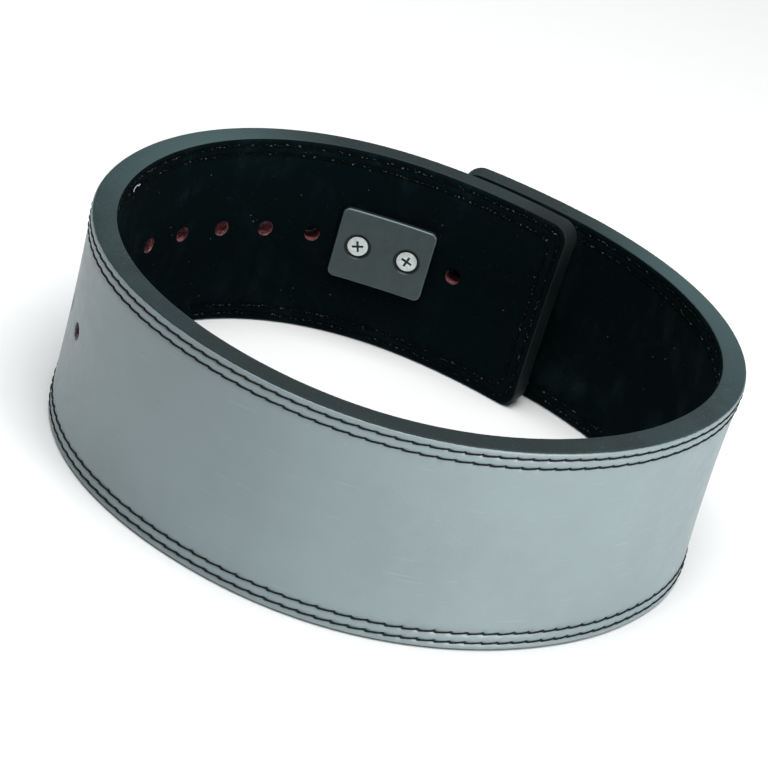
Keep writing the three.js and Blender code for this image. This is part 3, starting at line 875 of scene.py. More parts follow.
class Finish:
    """A material with one Principled shader, and short ways to feed it."""

    def __init__(self, name, **sockets):
        self.material = bpy.data.materials.new(name)
        self.material.use_nodes = True
        self.tree = self.material.node_tree
        self.shader = self.tree.nodes["Principled BSDF"]
        for socket, value in sockets.items():
            self.shader.inputs[socket.replace("_", " ")].default_value = value

    def node(self, kind, **settings):
        node = self.tree.nodes.new(kind)
        for key, value in settings.items():
            setattr(node, key, value)
        return node

    def feed(self, node, **inputs):
        for key, value in inputs.items():
            socket = node.inputs[int(key[1:])] if key[0] == "_" else node.inputs[key]
            if isinstance(value, bpy.types.NodeSocket):
                self.tree.links.new(value, socket)
            else:
                socket.default_value = value
        return node

    def place(self):
        """The bent place of a point, in metres."""
        return self.node("ShaderNodeTexCoord").outputs["Object"]

    def stored(self, name):
        return self.node("ShaderNodeAttribute", attribute_name=name).outputs["Vector"]

    def part(self, vector, axis):
        node = self.feed(self.node("ShaderNodeSeparateXYZ"), Vector=vector)
        return node.outputs[axis]

    def stretched(self, vector, scale, turn=0.0):
        node = self.node("ShaderNodeMapping")
        self.feed(node, Vector=vector, Scale=scale)
        node.inputs["Rotation"].default_value = (0.0, 0.0, turn)
        return node.outputs["Vector"]

    def noise(self, vector, scale, detail=2.0, roughness=0.5, distortion=0.0):
        node = self.node("ShaderNodeTexNoise")
        self.feed(node, Vector=vector, Scale=scale, Detail=detail, Roughness=roughness,
                  Distortion=distortion)
        return node.outputs["Fac"]

    def cells(self, vector, scale, feature="F1", output="Distance"):
        node = self.node("ShaderNodeTexVoronoi", feature=feature)
        self.feed(node, Vector=vector, Scale=scale)
        return node.outputs[output]

    def spread(self, value, low, high, to_low=0.0, to_high=1.0):
        """Maps a value smoothly from one range to another."""
        node = self.node("ShaderNodeMapRange", interpolation_type="SMOOTHSTEP")
        self.feed(node, Value=value)
        for key, number in zip(("From Min", "From Max", "To Min", "To Max"),
                               (low, high, to_low, to_high)):
            node.inputs[key].default_value = number
        return node.outputs["Result"]

    def combined(self, operation, first, second):
        """Works one of the Math node's operations on two values."""
        node = self.node("ShaderNodeMath", operation=operation)
        return self.feed(node, _0=first, _1=second).outputs[0]

    def mix(self, factor, first, second):
        node = self.node("ShaderNodeMix", data_type="RGBA")
        for socket, value in ((0, factor), (6, first), (7, second)):
            if isinstance(value, bpy.types.NodeSocket):
                self.tree.links.new(value, node.inputs[socket])
            elif socket == 0:
                node.inputs[socket].default_value = value
            else:
                node.inputs[socket].default_value = (*value, 1.0)
        return node.outputs[2]

    def bump(self, height, depth, strength=1.0, before=None):
        node = self.feed(self.node("ShaderNodeBump"), Height=height, Distance=depth,
                         Strength=strength)
        if before is not None:
            self.tree.links.new(before, node.inputs["Normal"])
        return node.outputs["Normal"]

    def paint(self, **sockets):
        """Links the shader's own sockets."""
        for socket, value in sockets.items():
            self.tree.links.new(value, self.shader.inputs[socket.replace("_", " ")])
        return self.material


def scaled(rgb, factor):
    return tuple(min(1.0, channel * factor) for channel in rgb)


# How far the black edge paint reaches over the rim of the grey face, and its wobble
PAINT_REACH = 0.86 * MM
PAINT_WOBBLE = 0.06 * MM

# Where painted shade darkens the edge paint and a painted sheen lightens it: from the inner tip, and
# over depth and width
TIP_PAINTED_SHADE = (12 * MM, 36 * MM)
FRONT_PAINTED_SHADE = (-0.135, -0.05)
BACK_PAINTED_SHEEN = (-0.07, 0.09)
SIDE_SPAN = (0.045, 0.12)
LAP_PAINTED_SHADE = (0.03, 0.09)

# Soft scuffs and faint scratches on the face: turn, fineness along and across, and the level
# from which the noise shows
SCUFFS = ((0.5, 14, 260, 0.735), (-0.35, 14, 330, 0.745), (1.35, 14, 240, 0.75))
SCRATCHES = ((0.08, 45, 1100, 0.79), (-0.75, 55, 1200, 0.8), (1.5, 50, 1300, 0.8))

# How many features of each pattern lie along a metre
FACE = SimpleNamespace(clouds=17, mottle=140, specks=95, wobble=420, pores=1500, grain=700)
SUEDE = SimpleNamespace(patches=22, fibres=2600, motes=260, lint=130, nap=500)
EDGE = SimpleNamespace(clouds=55, fine=900, nicks=230)
RAW = SimpleNamespace(fibres=1400, patches=330, frays=750)
THREAD = SimpleNamespace(fibres=3200, glints=900)
STEEL = SimpleNamespace(clouds=120, specks=1700)
ZINC_CLOUDS = 420
LINT_FIBRES = 2500
FLOOR_GRAIN = 60


def grey_leather(colours):
    finish = Finish("grey_leather", IOR=1.5, Specular_IOR_Level=0.8)
    flat, rim = finish.stored("flat"), finish.stored("rim")
    broad = finish.noise(flat, FACE.clouds, 3, 0.55)
    fine = finish.noise(flat, FACE.mottle, 5, 0.6)
    tone = finish.mix(finish.spread(broad, 0.32, 0.68), scaled(colours.face, 0.93),
                      scaled(colours.face, 1.05))
    tone = finish.mix(finish.spread(fine, 0.3, 0.75, 0.0, 0.3), tone, scaled(colours.face, 1.1))
    for marks, detail, fade, strength in ((SCUFFS, 2, 0.03, 0.28), (SCRATCHES, 0, 0.04, 0.3)):
        for turn, along, across, low in marks:
            lines = finish.noise(finish.stretched(flat, (along, across, 1), turn), 1.0, detail)
            tone = finish.mix(finish.spread(lines, low, low + fade, 0.0, strength), tone,
                              scaled(colours.face, 1.5))
    specks = finish.cells(flat, FACE.specks)
    tone = finish.mix(finish.spread(specks, 0.035, 0.06, 0.3, 0.0), tone,
                      scaled(colours.face, 1.45))
    wobble = finish.spread(finish.noise(flat, FACE.wobble, 3), 0.3, 0.7, -PAINT_WOBBLE,
                           PAINT_WOBBLE)
    edge = finish.combined("ADD", finish.part(rim, "X"), wobble)
    black = finish.spread(edge, PAINT_REACH - 0.08 * MM, PAINT_REACH + 0.1 * MM, 1.0, 0.0)
    tone = finish.mix(black, tone, colours.edge)
    pores = finish.cells(flat, FACE.pores, "SMOOTH_F1")
    grain = finish.noise(flat, FACE.grain, 4, 0.6)
    normal = finish.bump(pores, 0.05 * MM, 0.5)
    normal = finish.bump(grain, 0.06 * MM, 0.6, normal)
    normal = finish.bump(broad, 0.5 * MM, 0.25, normal)
    rough = finish.spread(fine, 0.25, 0.8, 0.4, 0.52)
    return finish.paint(Base_Color=tone, Roughness=rough, Normal=normal)


def black_suede(colours):
    finish = Finish("black_suede", Specular_IOR_Level=0.0, Sheen_Weight=0.006,
                    Sheen_Roughness=0.45, Roughness=0.95)
    finish.shader.inputs["Sheen Tint"].default_value = (0.75, 0.9, 0.95, 1.0)
    flat = finish.stored("flat")
    patches = finish.noise(flat, SUEDE.patches, 4, 0.6, 1.2)
    strokes = finish.noise(finish.stretched(flat, (90, 24, 1), 0.5), 1.0, 3, 0.6, 0.6)
    nap = finish.combined("MULTIPLY", finish.spread(patches, 0.45, 0.7),
                          finish.spread(strokes, 0.3, 0.75))
    tone = finish.mix(nap, colours.suede, colours.nap)
    fibres = finish.noise(flat, SUEDE.fibres, 3, 0.7)
    tone = finish.mix(finish.spread(fibres, 0.35, 0.75, 0.0, 0.5), tone,
                      scaled(colours.nap, 1.2))
    motes = finish.cells(flat, SUEDE.motes)
    tone = finish.mix(finish.spread(motes, 0.05, 0.09, 0.6, 0.0), tone, scaled(colours.nap, 3.2))
    lint = finish.cells(finish.stretched(flat, (SUEDE.lint, SUEDE.lint, 1)), 1.0)
    tone = finish.mix(finish.spread(lint, 0.028, 0.045, 0.8, 0.0), tone,
                      scaled(colours.lint, 0.35))
    normal = finish.bump(fibres, 0.16 * MM, 0.9)
    normal = finish.bump(finish.noise(flat, SUEDE.nap, 3), 0.18 * MM, 0.5, normal)
    return finish.paint(Base_Color=tone, Normal=normal)


def edge_paint(colours):
    """Black paint, with painted shade at the front, the lap and the inner tip, and a painted sheen on
    the back of the sides.
    """
    finish = Finish("edge_paint", Specular_IOR_Level=0.2)
    place = finish.place()
    broad = finish.noise(place, EDGE.clouds, 3)
    streaks = finish.noise(finish.stretched(finish.stored("flat"), (40, 900, 1)), 1.0, 3, 0.6)
    tone = finish.mix(finish.spread(broad, 0.3, 0.7), scaled(colours.edge, 0.8),
                      scaled(colours.edge, 1.35))
    fine = finish.noise(place, EDGE.fine, 4, 0.6)
    tone = finish.mix(finish.spread(fine, 0.4, 0.7, 0.0, 0.5), tone, scaled(colours.edge, 2.0))
    nicks = finish.cells(place, EDGE.nicks)
    tone = finish.mix(finish.spread(nicks, 0.05, 0.09, 0.6, 0.0), tone, scaled(colours.edge, 7))
    # Lighter along the lip's corners: a painted highlight, and rubbed paint
    lip = finish.spread(finish.part(finish.stored("rim"), "X"), 0.22 * MM, 0.6 * MM)
    pale_rim = finish.combined("MULTIPLY", lip, finish.spread(broad, 0.3, 0.6, 0.35, 0.8))
    tone = finish.mix(pale_rim, tone, scaled(colours.edge, 2.1))
    depth = finish.part(place, "Y")
    # Painted shade: darker towards the front
    tone = finish.mix(finish.spread(depth, *FRONT_PAINTED_SHADE, 0.55, 0.0), tone,
                      scaled(colours.edge, 0.35))
    # Painted sheen: lighter at the back of the sides
    side = finish.spread(finish.combined("ABSOLUTE", finish.part(place, "X"), 0.0), *SIDE_SPAN)
    back_sheen = finish.combined("MULTIPLY", finish.spread(depth, *BACK_PAINTED_SHEEN, 0.0, 0.75), side)
    tone = finish.mix(back_sheen, tone, scaled(colours.edge, 3.1))
    # Painted shade: darker at the back, over the lap, away from the sides
    lap = finish.spread(depth, *LAP_PAINTED_SHADE, 0.0, 0.5)
    lap = finish.combined("MULTIPLY", lap, finish.combined("SUBTRACT", 1.0, side))
    tone = finish.mix(lap, tone, scaled(colours.edge, 0.35))
    # Painted shade: darker near the inner tip
    from_tip = finish.part(finish.stored("flat"), "X")
    tip_shade = finish.spread(from_tip, *TIP_PAINTED_SHADE, 0.88, 0.0)
    tone = finish.mix(tip_shade, tone, scaled(colours.edge, 0.25))
    normal = finish.bump(fine, 0.12 * MM, 0.9)
    normal = finish.bump(streaks, 0.1 * MM, 0.5, normal)
    rough = finish.spread(broad, 0.3, 0.75, 0.55, 0.72)
    return finish.paint(Base_Color=tone, Roughness=rough, Normal=normal)


def raw_leather(name, rgb):
    finish = Finish(name, Specular_IOR_Level=0.2, Roughness=0.9)
    place = finish.place()
    fibres = finish.noise(place, RAW.fibres, 5, 0.7)
    patches = finish.noise(place, RAW.patches, 3)
    tone = finish.mix(finish.spread(fibres, 0.3, 0.7), scaled(rgb, 0.45), scaled(rgb, 1.5))
    tone = finish.mix(finish.spread(patches, 0.42, 0.62, 0.0, 0.85), tone, scaled(rgb, 0.2))
    frayed = finish.noise(place, RAW.frays, 2)
    tone = finish.mix(finish.spread(frayed, 0.56, 0.66, 0.0, 0.7), tone, scaled(rgb, 2.2))
    return finish.paint(Base_Color=tone, Normal=finish.bump(fibres, 0.25 * MM, 0.9))


def waxed_thread(name, colours, painted_glints):
    """Black thread, plain outside and with pale painted glints inside."""
    finish = Finish(name, Specular_IOR_Level=0.02 if painted_glints else 0.1)
    place = finish.place()
    fibres = finish.noise(place, THREAD.fibres, 3, 0.6)
    if painted_glints:
        # Painted glints: sparse pale specks in the lint colour on the dark inner thread
        glints = finish.noise(place, THREAD.glints, 2)
        tone = finish.mix(finish.spread(glints, 0.615, 0.665, 0.0, 0.78),
                          scaled(colours.thread, 0.3), scaled(colours.lint, 0.23))
    else:
        tone = finish.mix(finish.spread(fibres, 0.35, 0.7), scaled(colours.thread, 0.6),
                          scaled(colours.thread, 1.8))
    rough = finish.spread(fibres, 0.3, 0.7, 0.5, 0.7)
    return finish.paint(Base_Color=tone, Roughness=rough,
                        Normal=finish.bump(fibres, 0.1 * MM, 0.6))


def coated_steel(name, rgb, rough_low, rough_high, dish=None):
    """A black coat, rubbed pale along the edges, and on a plate painted shade on its side walls and
    in its dishes.
    """
    finish = Finish(name, Metallic=0.25, Specular_IOR_Level=0.5)
    place = finish.place()
    cloud = finish.noise(place, STEEL.clouds, 4, 0.6)
    tone = finish.mix(finish.spread(cloud, 0.3, 0.7), scaled(rgb, 0.88), scaled(rgb, 1.14))
    specks = finish.noise(place, STEEL.specks, 3, 0.6)
    tone = finish.mix(finish.spread(specks, 0.62, 0.75, 0.0, 0.35), tone, scaled(rgb, 1.7))
    rim = finish.stored("rim")
    pale_rim = finish.spread(finish.part(rim, "X"), 0.4 * MM, 0.75 * MM, 0.7, 0.0)
    tone = finish.mix(pale_rim, tone, scaled(rgb, 3.2))
    if dish:
        # Painted shade on a plate's side walls and in the dish round each screw
        side = finish.spread(finish.part(rim, "X"), 0.02 * MM, 0.1 * MM, 1.0, 0.0)
        tone = finish.mix(side, tone, scaled(rgb, 0.3))
        shade = finish.spread(finish.part(rim, "Y"), dish - 0.45 * MM, dish + 0.02 * MM,
                              0.8, 0.0)
        tone = finish.mix(shade, tone, scaled(rgb, 0.3))
    rough = finish.spread(cloud, 0.3, 0.75, rough_low, rough_high)
    return finish.paint(Base_Color=tone, Roughness=rough,
                        Normal=finish.bump(specks, 0.03 * MM, 0.7))


def pale_zinc(name, rgb):
    finish = Finish(name, Metallic=0.25)
    cloud = finish.noise(finish.place(), ZINC_CLOUDS, 4, 0.6)
    tone = finish.mix(finish.spread(cloud, 0.3, 0.7), scaled(rgb, 0.85), scaled(rgb, 1.1))
    rough = finish.spread(cloud, 0.3, 0.75, 0.34, 0.5)
    return finish.paint(Base_Color=tone, Roughness=rough,
                        Normal=finish.bump(cloud, 0.03 * MM, 0.6))


def pale_lint(colours):
    finish = Finish("pale_lint", Roughness=0.85)
    fibres = finish.noise(finish.place(), LINT_FIBRES, 3)
    return finish.paint(Base_Color=finish.mix(fibres, scaled(colours.lint, 0.8),
                                              scaled(colours.lint, 1.3)))


def plain_floor(colours):
    finish = Finish("plain_floor", Roughness=0.9, Specular_IOR_Level=0.1)
    grain = finish.noise(finish.place(), FLOOR_GRAIN, 4)
    return finish.paint(Base_Color=finish.mix(finish.spread(grain, 0.3, 0.7),
                                              scaled(colours.floor, 0.995), colours.floor))


# Screws and the lever buckle

CUTTER_TOP = 0.3 * MM
CROSS_FOOT = (0.7, 0.75)


def cross_cutter(clamp, turn, frame_here, finish):
    """A tapering cross that cuts a screw's recess, and gives it its finish of painted shade."""
    work = bmesh.new()
    rings = []
    foot = -clamp.sunk - clamp.cross_depth
    for height, arm_share, width_share in ((CUTTER_TOP, 1.0, 1.0), (-clamp.sunk, 1.0, 1.0),
                                           (foot, *CROSS_FOOT)):
        arm = clamp.cross_length / 2 * arm_share
        half = clamp.cross_width / 2 * width_share
        corners = []
        for quarter in range(4):
            spin = Matrix.Rotation(turn + quarter * math.pi / 2, 4, "Z")
            corners += [spin @ Vector((arm, -half, height)), spin @ Vector((arm, half, height)),
                        spin @ Vector((half, half, height))]
        rings.append([work.verts.new(frame_here @ corner) for corner in corners])
    size = len(rings[0])
    work.faces.new(rings[0])
    work.faces.new(rings[-1][::-1])
    for upper, lower in zip(rings[:-1], rings[1:]):
        for index in range(size):
            after = (index + 1) % size
            work.faces.new((upper[index], lower[index], lower[after], upper[after]))
    bmesh.ops.recalc_face_normals(work, faces=work.faces)
    mesh = bpy.data.meshes.new("cross_cutter")
    work.to_mesh(mesh)
    work.free()
    mesh.materials.append(finish)
    cutter = bpy.data.objects.new("cross_cutter", mesh)
    bpy.context.scene.collection.objects.link(cutter)
    return cutter


def cut(piece, cutter):
    """Cuts one object out of another for good."""
    modifier = piece.modifiers.new("recess", "BOOLEAN")
    modifier.object = cutter
    modifier.solver = "EXACT"
    modifier.material_mode = "TRANSFER"
    view = bpy.context.evaluated_depsgraph_get()
    mesh = bpy.data.meshes.new_from_object(piece.evaluated_get(view))
    piece.modifiers.clear()
    old = piece.data
    piece.data = mesh
    bpy.data.meshes.remove(old)
    bpy.data.objects.remove(cutter)
    mesh.shade_smooth()
    mesh.set_sharp_from_angle(angle=math.radians(STEEL_SHARP))


STEEL_ROUND = 0.7 * MM
ROUND_STEPS = np.array([0.0, 0.08, 0.3, 0.6, 1.0])
CORNER_FILL = 0.96
STEEL_STEP = 3 * MM
STEEL_ROW = 6 * MM


def steel_sheet(body, place, span, height, taper, corner, thickness):
    """A plate with rounded rims, laid by place(along, up, out) over 0 to span."""
    radius = STEEL_ROUND
    offsets = list(radius * ROUND_STEPS) + [corner * CORNER_FILL]
    inset = corner
    columns = np.append(split(inset, span - inset, STEEL_STEP), span - inset)
    rows = np.append(split(inset - height / 2, height / 2 - inset, STEEL_ROW), height / 2 - inset)
    layout = sheet(columns, rows, inset, corner, offsets)
    sunk = radius * (1 - np.sqrt(1 - (1 - np.clip(layout.edge / radius, 0, 1)) ** 2))
    along, up = layout.flat.T
    up = up * (1 + (taper - 1) * along / span)
    body.slab(layout, place(along, up, thickness - sunk), layout, place(along, up, sunk))


def rounded_outline(corners, radius, parts=6):
    """A plan polygon with its corners rounded."""
    corners = np.array(corners)
    points = []
    for index, corner in enumerate(corners):
        before, after = corners[index - 1], corners[(index + 1) % len(corners)]
        start = corner + (before - corner) / np.linalg.norm(before - corner) * radius
        end = corner + (after - corner) / np.linalg.norm(after - corner) * radius
        t = np.linspace(0, 1, parts + 1)[:, None]
        points.append((1 - t) ** 2 * start + 2 * t * (1 - t) * corner + t ** 2 * end)
    return np.concatenate(points)


SHEET_CORNER = 5 * MM
LEVER_CORNER = 9 * MM
CHEEK_CORNER = 2.5 * MM
CHEEK_BEVEL = 0.5 * MM
BARREL_BEVEL = 0.6 * MM
BARREL_SIDES = 40
PRONG_NOSE = 1.2 * MM
PRONG_SIDES = 32
FIT_ROUNDS = 6

# A rivet's head: distances past the prong's wall and over the steel, in millimetres
RIVET_STEPS = ((0.0, 1.1), (1.3, 0.5), (1.4, 0.0))
RIVET_CROWN = (0.8 * MM, 1.3 * MM)


def buckle_body(body, scene, line, plate):
    """Base, cheeks, barrel, hook with its prongs, bosses and the closed lever."""
    buckle, strap = scene.belt_buckle, scene.belt_strap
    steel, middle_up = buckle.steel, line.hole_height
    seat_out = line.face_out + strap.clearance
    steel_middle = seat_out + steel / 2

    def on_strap(start):
        return lambda along, up, out: line.point(start + along, middle_up + up, seat_out + out)

    steel_sheet(body, on_strap(line.base_start), line.base_length, buckle.base_height, 1.0,
                SHEET_CORNER, steel)
    hook_root = line.length + buckle.barrel_past_tip
    hook_length = (scene.belt_holes.first_prong + buckle.hook_past_prong
                   + (scene.belt_holes.prong_count - 1) * scene.belt_holes.pitch)
    steel_sheet(body, on_strap(line.length - hook_length), hook_length + buckle.barrel_past_tip,
                buckle.hook_height, 1.0, SHEET_CORNER, steel)

    prong_radius = scene.belt_holes.diameter / 2 - buckle.prong_play
    for along in line.prong_places:
        prong = line.frame_at(along, middle_up)
        nose = -steel_middle + buckle.prong_reach
        body.turned([(prong_radius - STEEL_ROUND, -steel_middle),
                     (prong_radius, -steel_middle + STEEL_ROUND),
                     (prong_radius, nose - PRONG_NOSE), (prong_radius - PRONG_NOSE, nose)],
                    prong, PRONG_SIDES)
        outside = -seat_out - steel
        rivet = [(RIVET_CROWN[0], outside - RIVET_CROWN[1])]
        rivet += [(prong_radius + past * MM, outside - over * MM) for past, over in RIVET_STEPS]
        body.turned(rivet, prong, PRONG_SIDES)

    pivot = line.point(hook_root, middle_up, steel_middle)
    upright = np.eye(4)
    upright[:3, 3] = pivot
    half, radius = buckle.base_height / 2, buckle.barrel / 2
    body.turned([(radius - BARREL_BEVEL, -half), (radius, BARREL_BEVEL - half),
                 (radius, half - BARREL_BEVEL), (radius - BARREL_BEVEL, half)],
                upright, BARREL_SIDES)

    plan = [line.point(line.base_start + reach, middle_up, steel_middle)[:2]
            for reach in (0.0, buckle.cheek)] + [pivot[:2]]
    for foot in (middle_up - half, middle_up + half - steel):
        body.prism(rounded_outline(plan, CHEEK_CORNER), foot, foot + steel, CHEEK_BEVEL)

    lever_start, lever_out = on_inner_run(line, pivot, middle_up)

    def on_lever(along, up, out):
        part = along / buckle.lever_length
        inner = (1 - part) * (lever_out - steel / 2) + part * (seat_out + buckle.lever_tip_air)
        return line.point(lever_start + along, middle_up + up, inner + out)

    steel_sheet(body, on_lever, buckle.lever_length, buckle.lever_height,
                buckle.lever_tip_height / buckle.lever_height, LEVER_CORNER, steel)

    boss_root = -(plate.depth + scene.belt_clamp.thickness + seat_out) - steel / 2
    for index in (0, 1):
        end = boss_root - steel / 2 - buckle.boss_length
        body.turned([(buckle.boss / 2 - BARREL_BEVEL, end), (buckle.boss / 2, end + BARREL_BEVEL),
                     (buckle.boss / 2, boss_root)], plate.screw_frame(index), BARREL_SIDES)


def on_inner_run(line, point, up):
    """Where a point stands on the inner run: its length along the belt and its offset."""
    along = line.lap_length
    for _ in range(FIT_ROUNDS):
        here = line.frame_at(along, up)
        local = (point - here[:3, 3]) @ here[:3, :3]
        along -= local[0]
    return along, -local[2]


# One operator for each piece or group of like pieces

OPTIONS = {"REGISTER", "UNDO"}


def belt(context):
    """The scene, whose settings size the belt, and the line that its strap follows."""
    return context.scene, BeltLine(context.scene)


class BuildCore(bpy.types.Operator):
    """Thick core with its domed, black painted edge and raw hole walls"""
    bl_idname = "lifting_belt.leather_core"
    bl_label = "Leather core"
    bl_options = OPTIONS

    def execute(self, context):
        scene, line = belt(context)
        radius = scene.belt_holes.diameter / 2
        holes = strap_holes(line, [radius])
        offsets, (front_out, back_out) = lip_profile(line)
        layout = strap_sheet(line, scene.belt_strap, list(offsets), CORE_ROW, holes)
        along, up = layout.flat.T
        front = line.point(along, up, np.interp(layout.edge, offsets, front_out))
        back = line.point(along, up, np.interp(layout.edge, offsets, back_out))
        body = Body()
        body.slab(layout, front, layout, back, holes, wall=1)
        colours = scene.belt_colours
        finishes = [edge_paint(colours), raw_leather("raw_leather", colours.raw)]
        seat(body.make("leather_core_edge", finishes), "edge_leather", "leather_core")
        return {"FINISHED"}


class BuildFace(bpy.types.Operator):
    """Smooth grey leather with its stitch grooves and rounded black rim"""
    bl_idname = "lifting_belt.outer_face"
    bl_label = "Outer face"
    bl_options = OPTIONS

    def execute(self, context):
        scene, line = belt(context)
        body = Body()
        skin(body, scene, line, 1)
        colours = scene.belt_colours
        finishes = [grey_leather(colours), raw_leather("cut_leather", colours.cut)]
        seat(body.make("grey_face", finishes), "grey_leather", "outer_face")
        return {"FINISHED"}


class BuildLining(bpy.types.Operator):
    """Black suede inside, brushed in soft patches"""
    bl_idname = "lifting_belt.suede_lining"
    bl_label = "Suede lining"
    bl_options = OPTIONS

    def execute(self, context):
        scene, line = belt(context)
        body = Body()
        skin(body, scene, line, -1)
        colours = scene.belt_colours
        finishes = [black_suede(colours), raw_leather("cut_suede", colours.raw)]
        seat(body.make("brushed_lining", finishes), "black_suede", "suede_lining")
        return {"FINISHED"}


LINT_PLACE = (0.2605, 0.0936)
LINT_SIZE = 8.5 * MM
LINT_RADIUS = 0.2 * MM
LINT_POINTS = 25
LINT_LIFT = 0.25 * MM
LINT_CURL = 0.5 * MM


class BuildLint(bpy.types.Operator):
    """Curled scrap of pale lint caught in the suede"""
    bl_idname = "lifting_belt.lint"
    bl_label = "Lint"
    bl_options = OPTIONS

    def execute(self, context):
        scene, line = belt(context)
        along, up = LINT_PLACE
        t = np.linspace(0, 1, LINT_POINTS)
        course_along = along + LINT_SIZE * (t - 0.5 + 0.1 * np.sin(9 * t))
        course_up = up + LINT_SIZE * (0.11 * np.sin(3.3 * t) + 0.05 * np.sin(12 * t))
        lift = LINT_LIFT + LINT_CURL * np.sin(4.1 * t) ** 2
        core = line.point(course_along, course_up, line.lining_in - lift)
        body = Body()
        body.tube(core, LINT_RADIUS)
        seat(body.make("lint_curl", [pale_lint(scene.belt_colours)], THREAD_SHARP), "black_suede")
        return {"FINISHED"}


class BuildStitches(bpy.types.Operator):
    """Two rows of black stitches round the strap, outside and inside"""
    bl_idname = "lifting_belt.stitches"
    bl_label = "Stitches"
    bl_options = OPTIONS

    def execute(self, context):
        scene, line = belt(context)
        colours = scene.belt_colours
        for name, side, slot, finish in (
                ("stitches_outside", 1, "edge_leather",
                 waxed_thread("waxed_thread", colours, False)),
                ("stitches_inside", -1, "black_suede",
                 waxed_thread("thread_painted_glints", colours, True))):
            body = Body()
            stitches(body, scene, line, side)
            seat(body.make(name, [finish], THREAD_SHARP), slot)
        return {"FINISHED"}


# The dish round a screw: distances in from its rim, and depths there
DISH_IN = np.array([0.0, 0.15, 0.4, 0.65, 1.5]) * MM
DISH_DEPTH = np.array([0.0, 0.12, 0.6, 0.95, 1.3]) * MM
DISH_LIP = 0.3 * MM
DISH_FLOOR = 0.2 * MM
PLATE_STEP = 2 * MM
PLATE_CHAMFER = 0.55 * MM
CHAMFER_STEPS = (0.0, 0.1 * MM, 0.3 * MM)
CHAMFER_SLOPE = 0.85
PLATE_RIM = 3.3 * MM


class BuildPlate(bpy.types.Operator):
    """Small bowed steel plate with a dish for each screw"""
    bl_idname = "lifting_belt.backing_plate"
    bl_label = "Backing plate"
    bl_options = OPTIONS

    def execute(self, context):
        scene, line = belt(context)
        clamp, plate = scene.belt_clamp, ClampPlate(scene, line)
        inset = clamp.corner
        half_height = clamp.height / 2
        hole = clamp.shank / 2 + scene.belt_strap.clearance
        dish = clamp.head / 2 + clamp.dish_ring
        patch = plate.half_length - inset - plate.half_pitch
        rings = [dish + DISH_LIP, *(dish - inward for inward in DISH_IN), hole]

        def layout(rings_here, offsets):
            holes = [SimpleNamespace(at=np.array([side * plate.half_pitch, 0.0]), half=patch,
                                     rings=rings_here) for side in (-1, 1)]
            end, top = plate.half_length - inset, half_height - inset
            columns = lines_through(-end, end, PLATE_STEP, [hole.at[0] for hole in holes], patch,
                                    PATCH_PARTS)
            rows = lines_through(-top, top, PLATE_STEP, [0.0], patch, PATCH_PARTS)
            return sheet(columns, rows, inset, inset, offsets, holes), holes

        chamfer = PLATE_CHAMFER
        front, holes = layout(rings, [*CHAMFER_STEPS, chamfer, chamfer + 0.1 * MM, PLATE_RIM])
        back, _ = layout([hole], [0.0, PLATE_RIM])
        along, up = front.flat.T
        sunk = CHAMFER_SLOPE * np.clip(chamfer - front.edge, 0, chamfer)
        reach = hole_reach(front.flat, holes)
        sunk += np.interp(dish - reach, np.append(DISH_IN, dish - hole),
                          np.append(DISH_DEPTH, clamp.thickness - DISH_FLOOR))
        body = Body()
        body.slab(front, plate.point(along, up, -sunk), back,
                  plate.point(back.flat[:, 0], back.flat[:, 1], -clamp.thickness), holes)
        finish = coated_steel("plate_coat", scene.belt_colours.plate, 0.38, 0.5, dish)
        seat(body.make("inside_plate", [finish], PLATE_SHARP), "black_steel", "backing_plate")
        return {"FINISHED"}


SCREW_PAST_BASE = 2.4 * MM
SCREW_TIP = 0.4 * MM
SCREW_SIDES = 64
HEAD_EDGE = 0.55 * MM
HEAD_ROUND = 0.1 * MM

# The head's rounded rim: distances in from its side and down from its flat face, in millimetres
HEAD_STEPS = ((0.0, 0.22), (0.08, 0.07), (0.25, 0.0))


class BuildScrews(bpy.types.Operator):
    """Two countersunk screws with cross recesses"""
    bl_idname = "lifting_belt.screws"
    bl_label = "Screws"
    bl_options = OPTIONS

    def execute(self, context):
        scene, line = belt(context)
        clamp, plate = scene.belt_clamp, ClampPlate(scene, line)
        finish = pale_zinc("pale_zinc", scene.belt_colours.zinc)
        # Painted shade in the cross recesses: the zinc at a tenth of its brightness
        recess = pale_zinc("recess_painted_shade", scaled(scene.belt_colours.zinc, 0.1))
        buckle = scene.belt_buckle
        seat_out = line.face_out + scene.belt_strap.clearance
        tip = -(plate.depth + clamp.thickness + seat_out) - buckle.steel - SCREW_PAST_BASE
        head, shank, sunk = clamp.head / 2, clamp.shank / 2, clamp.sunk
        slope = (head + clamp.dish_ring - shank) / clamp.thickness
        rim = -sunk - HEAD_EDGE
        for index, turn in enumerate((clamp.left_turn, clamp.right_turn)):
            body = Body()
            here = plate.screw_frame(index)
            body.turned([(shank - SCREW_TIP, tip), (shank, tip + SCREW_TIP),
                         (shank, rim - (head - shank) / slope),
                         (head - HEAD_ROUND, rim - HEAD_ROUND / 2), (head, rim + HEAD_ROUND),
                         *((head - inward * MM, -sunk - down * MM) for inward, down in HEAD_STEPS)],
                        here, SCREW_SIDES)
            name = ("screw_left", "screw_right")[index]
            piece = body.make(name + "_zinc", [finish], STEEL_SHARP)
            cut(piece, cross_cutter(clamp, turn, Matrix(here.tolist()), recess))
            seat(piece, "zinc_screw", name)
        return {"FINISHED"}


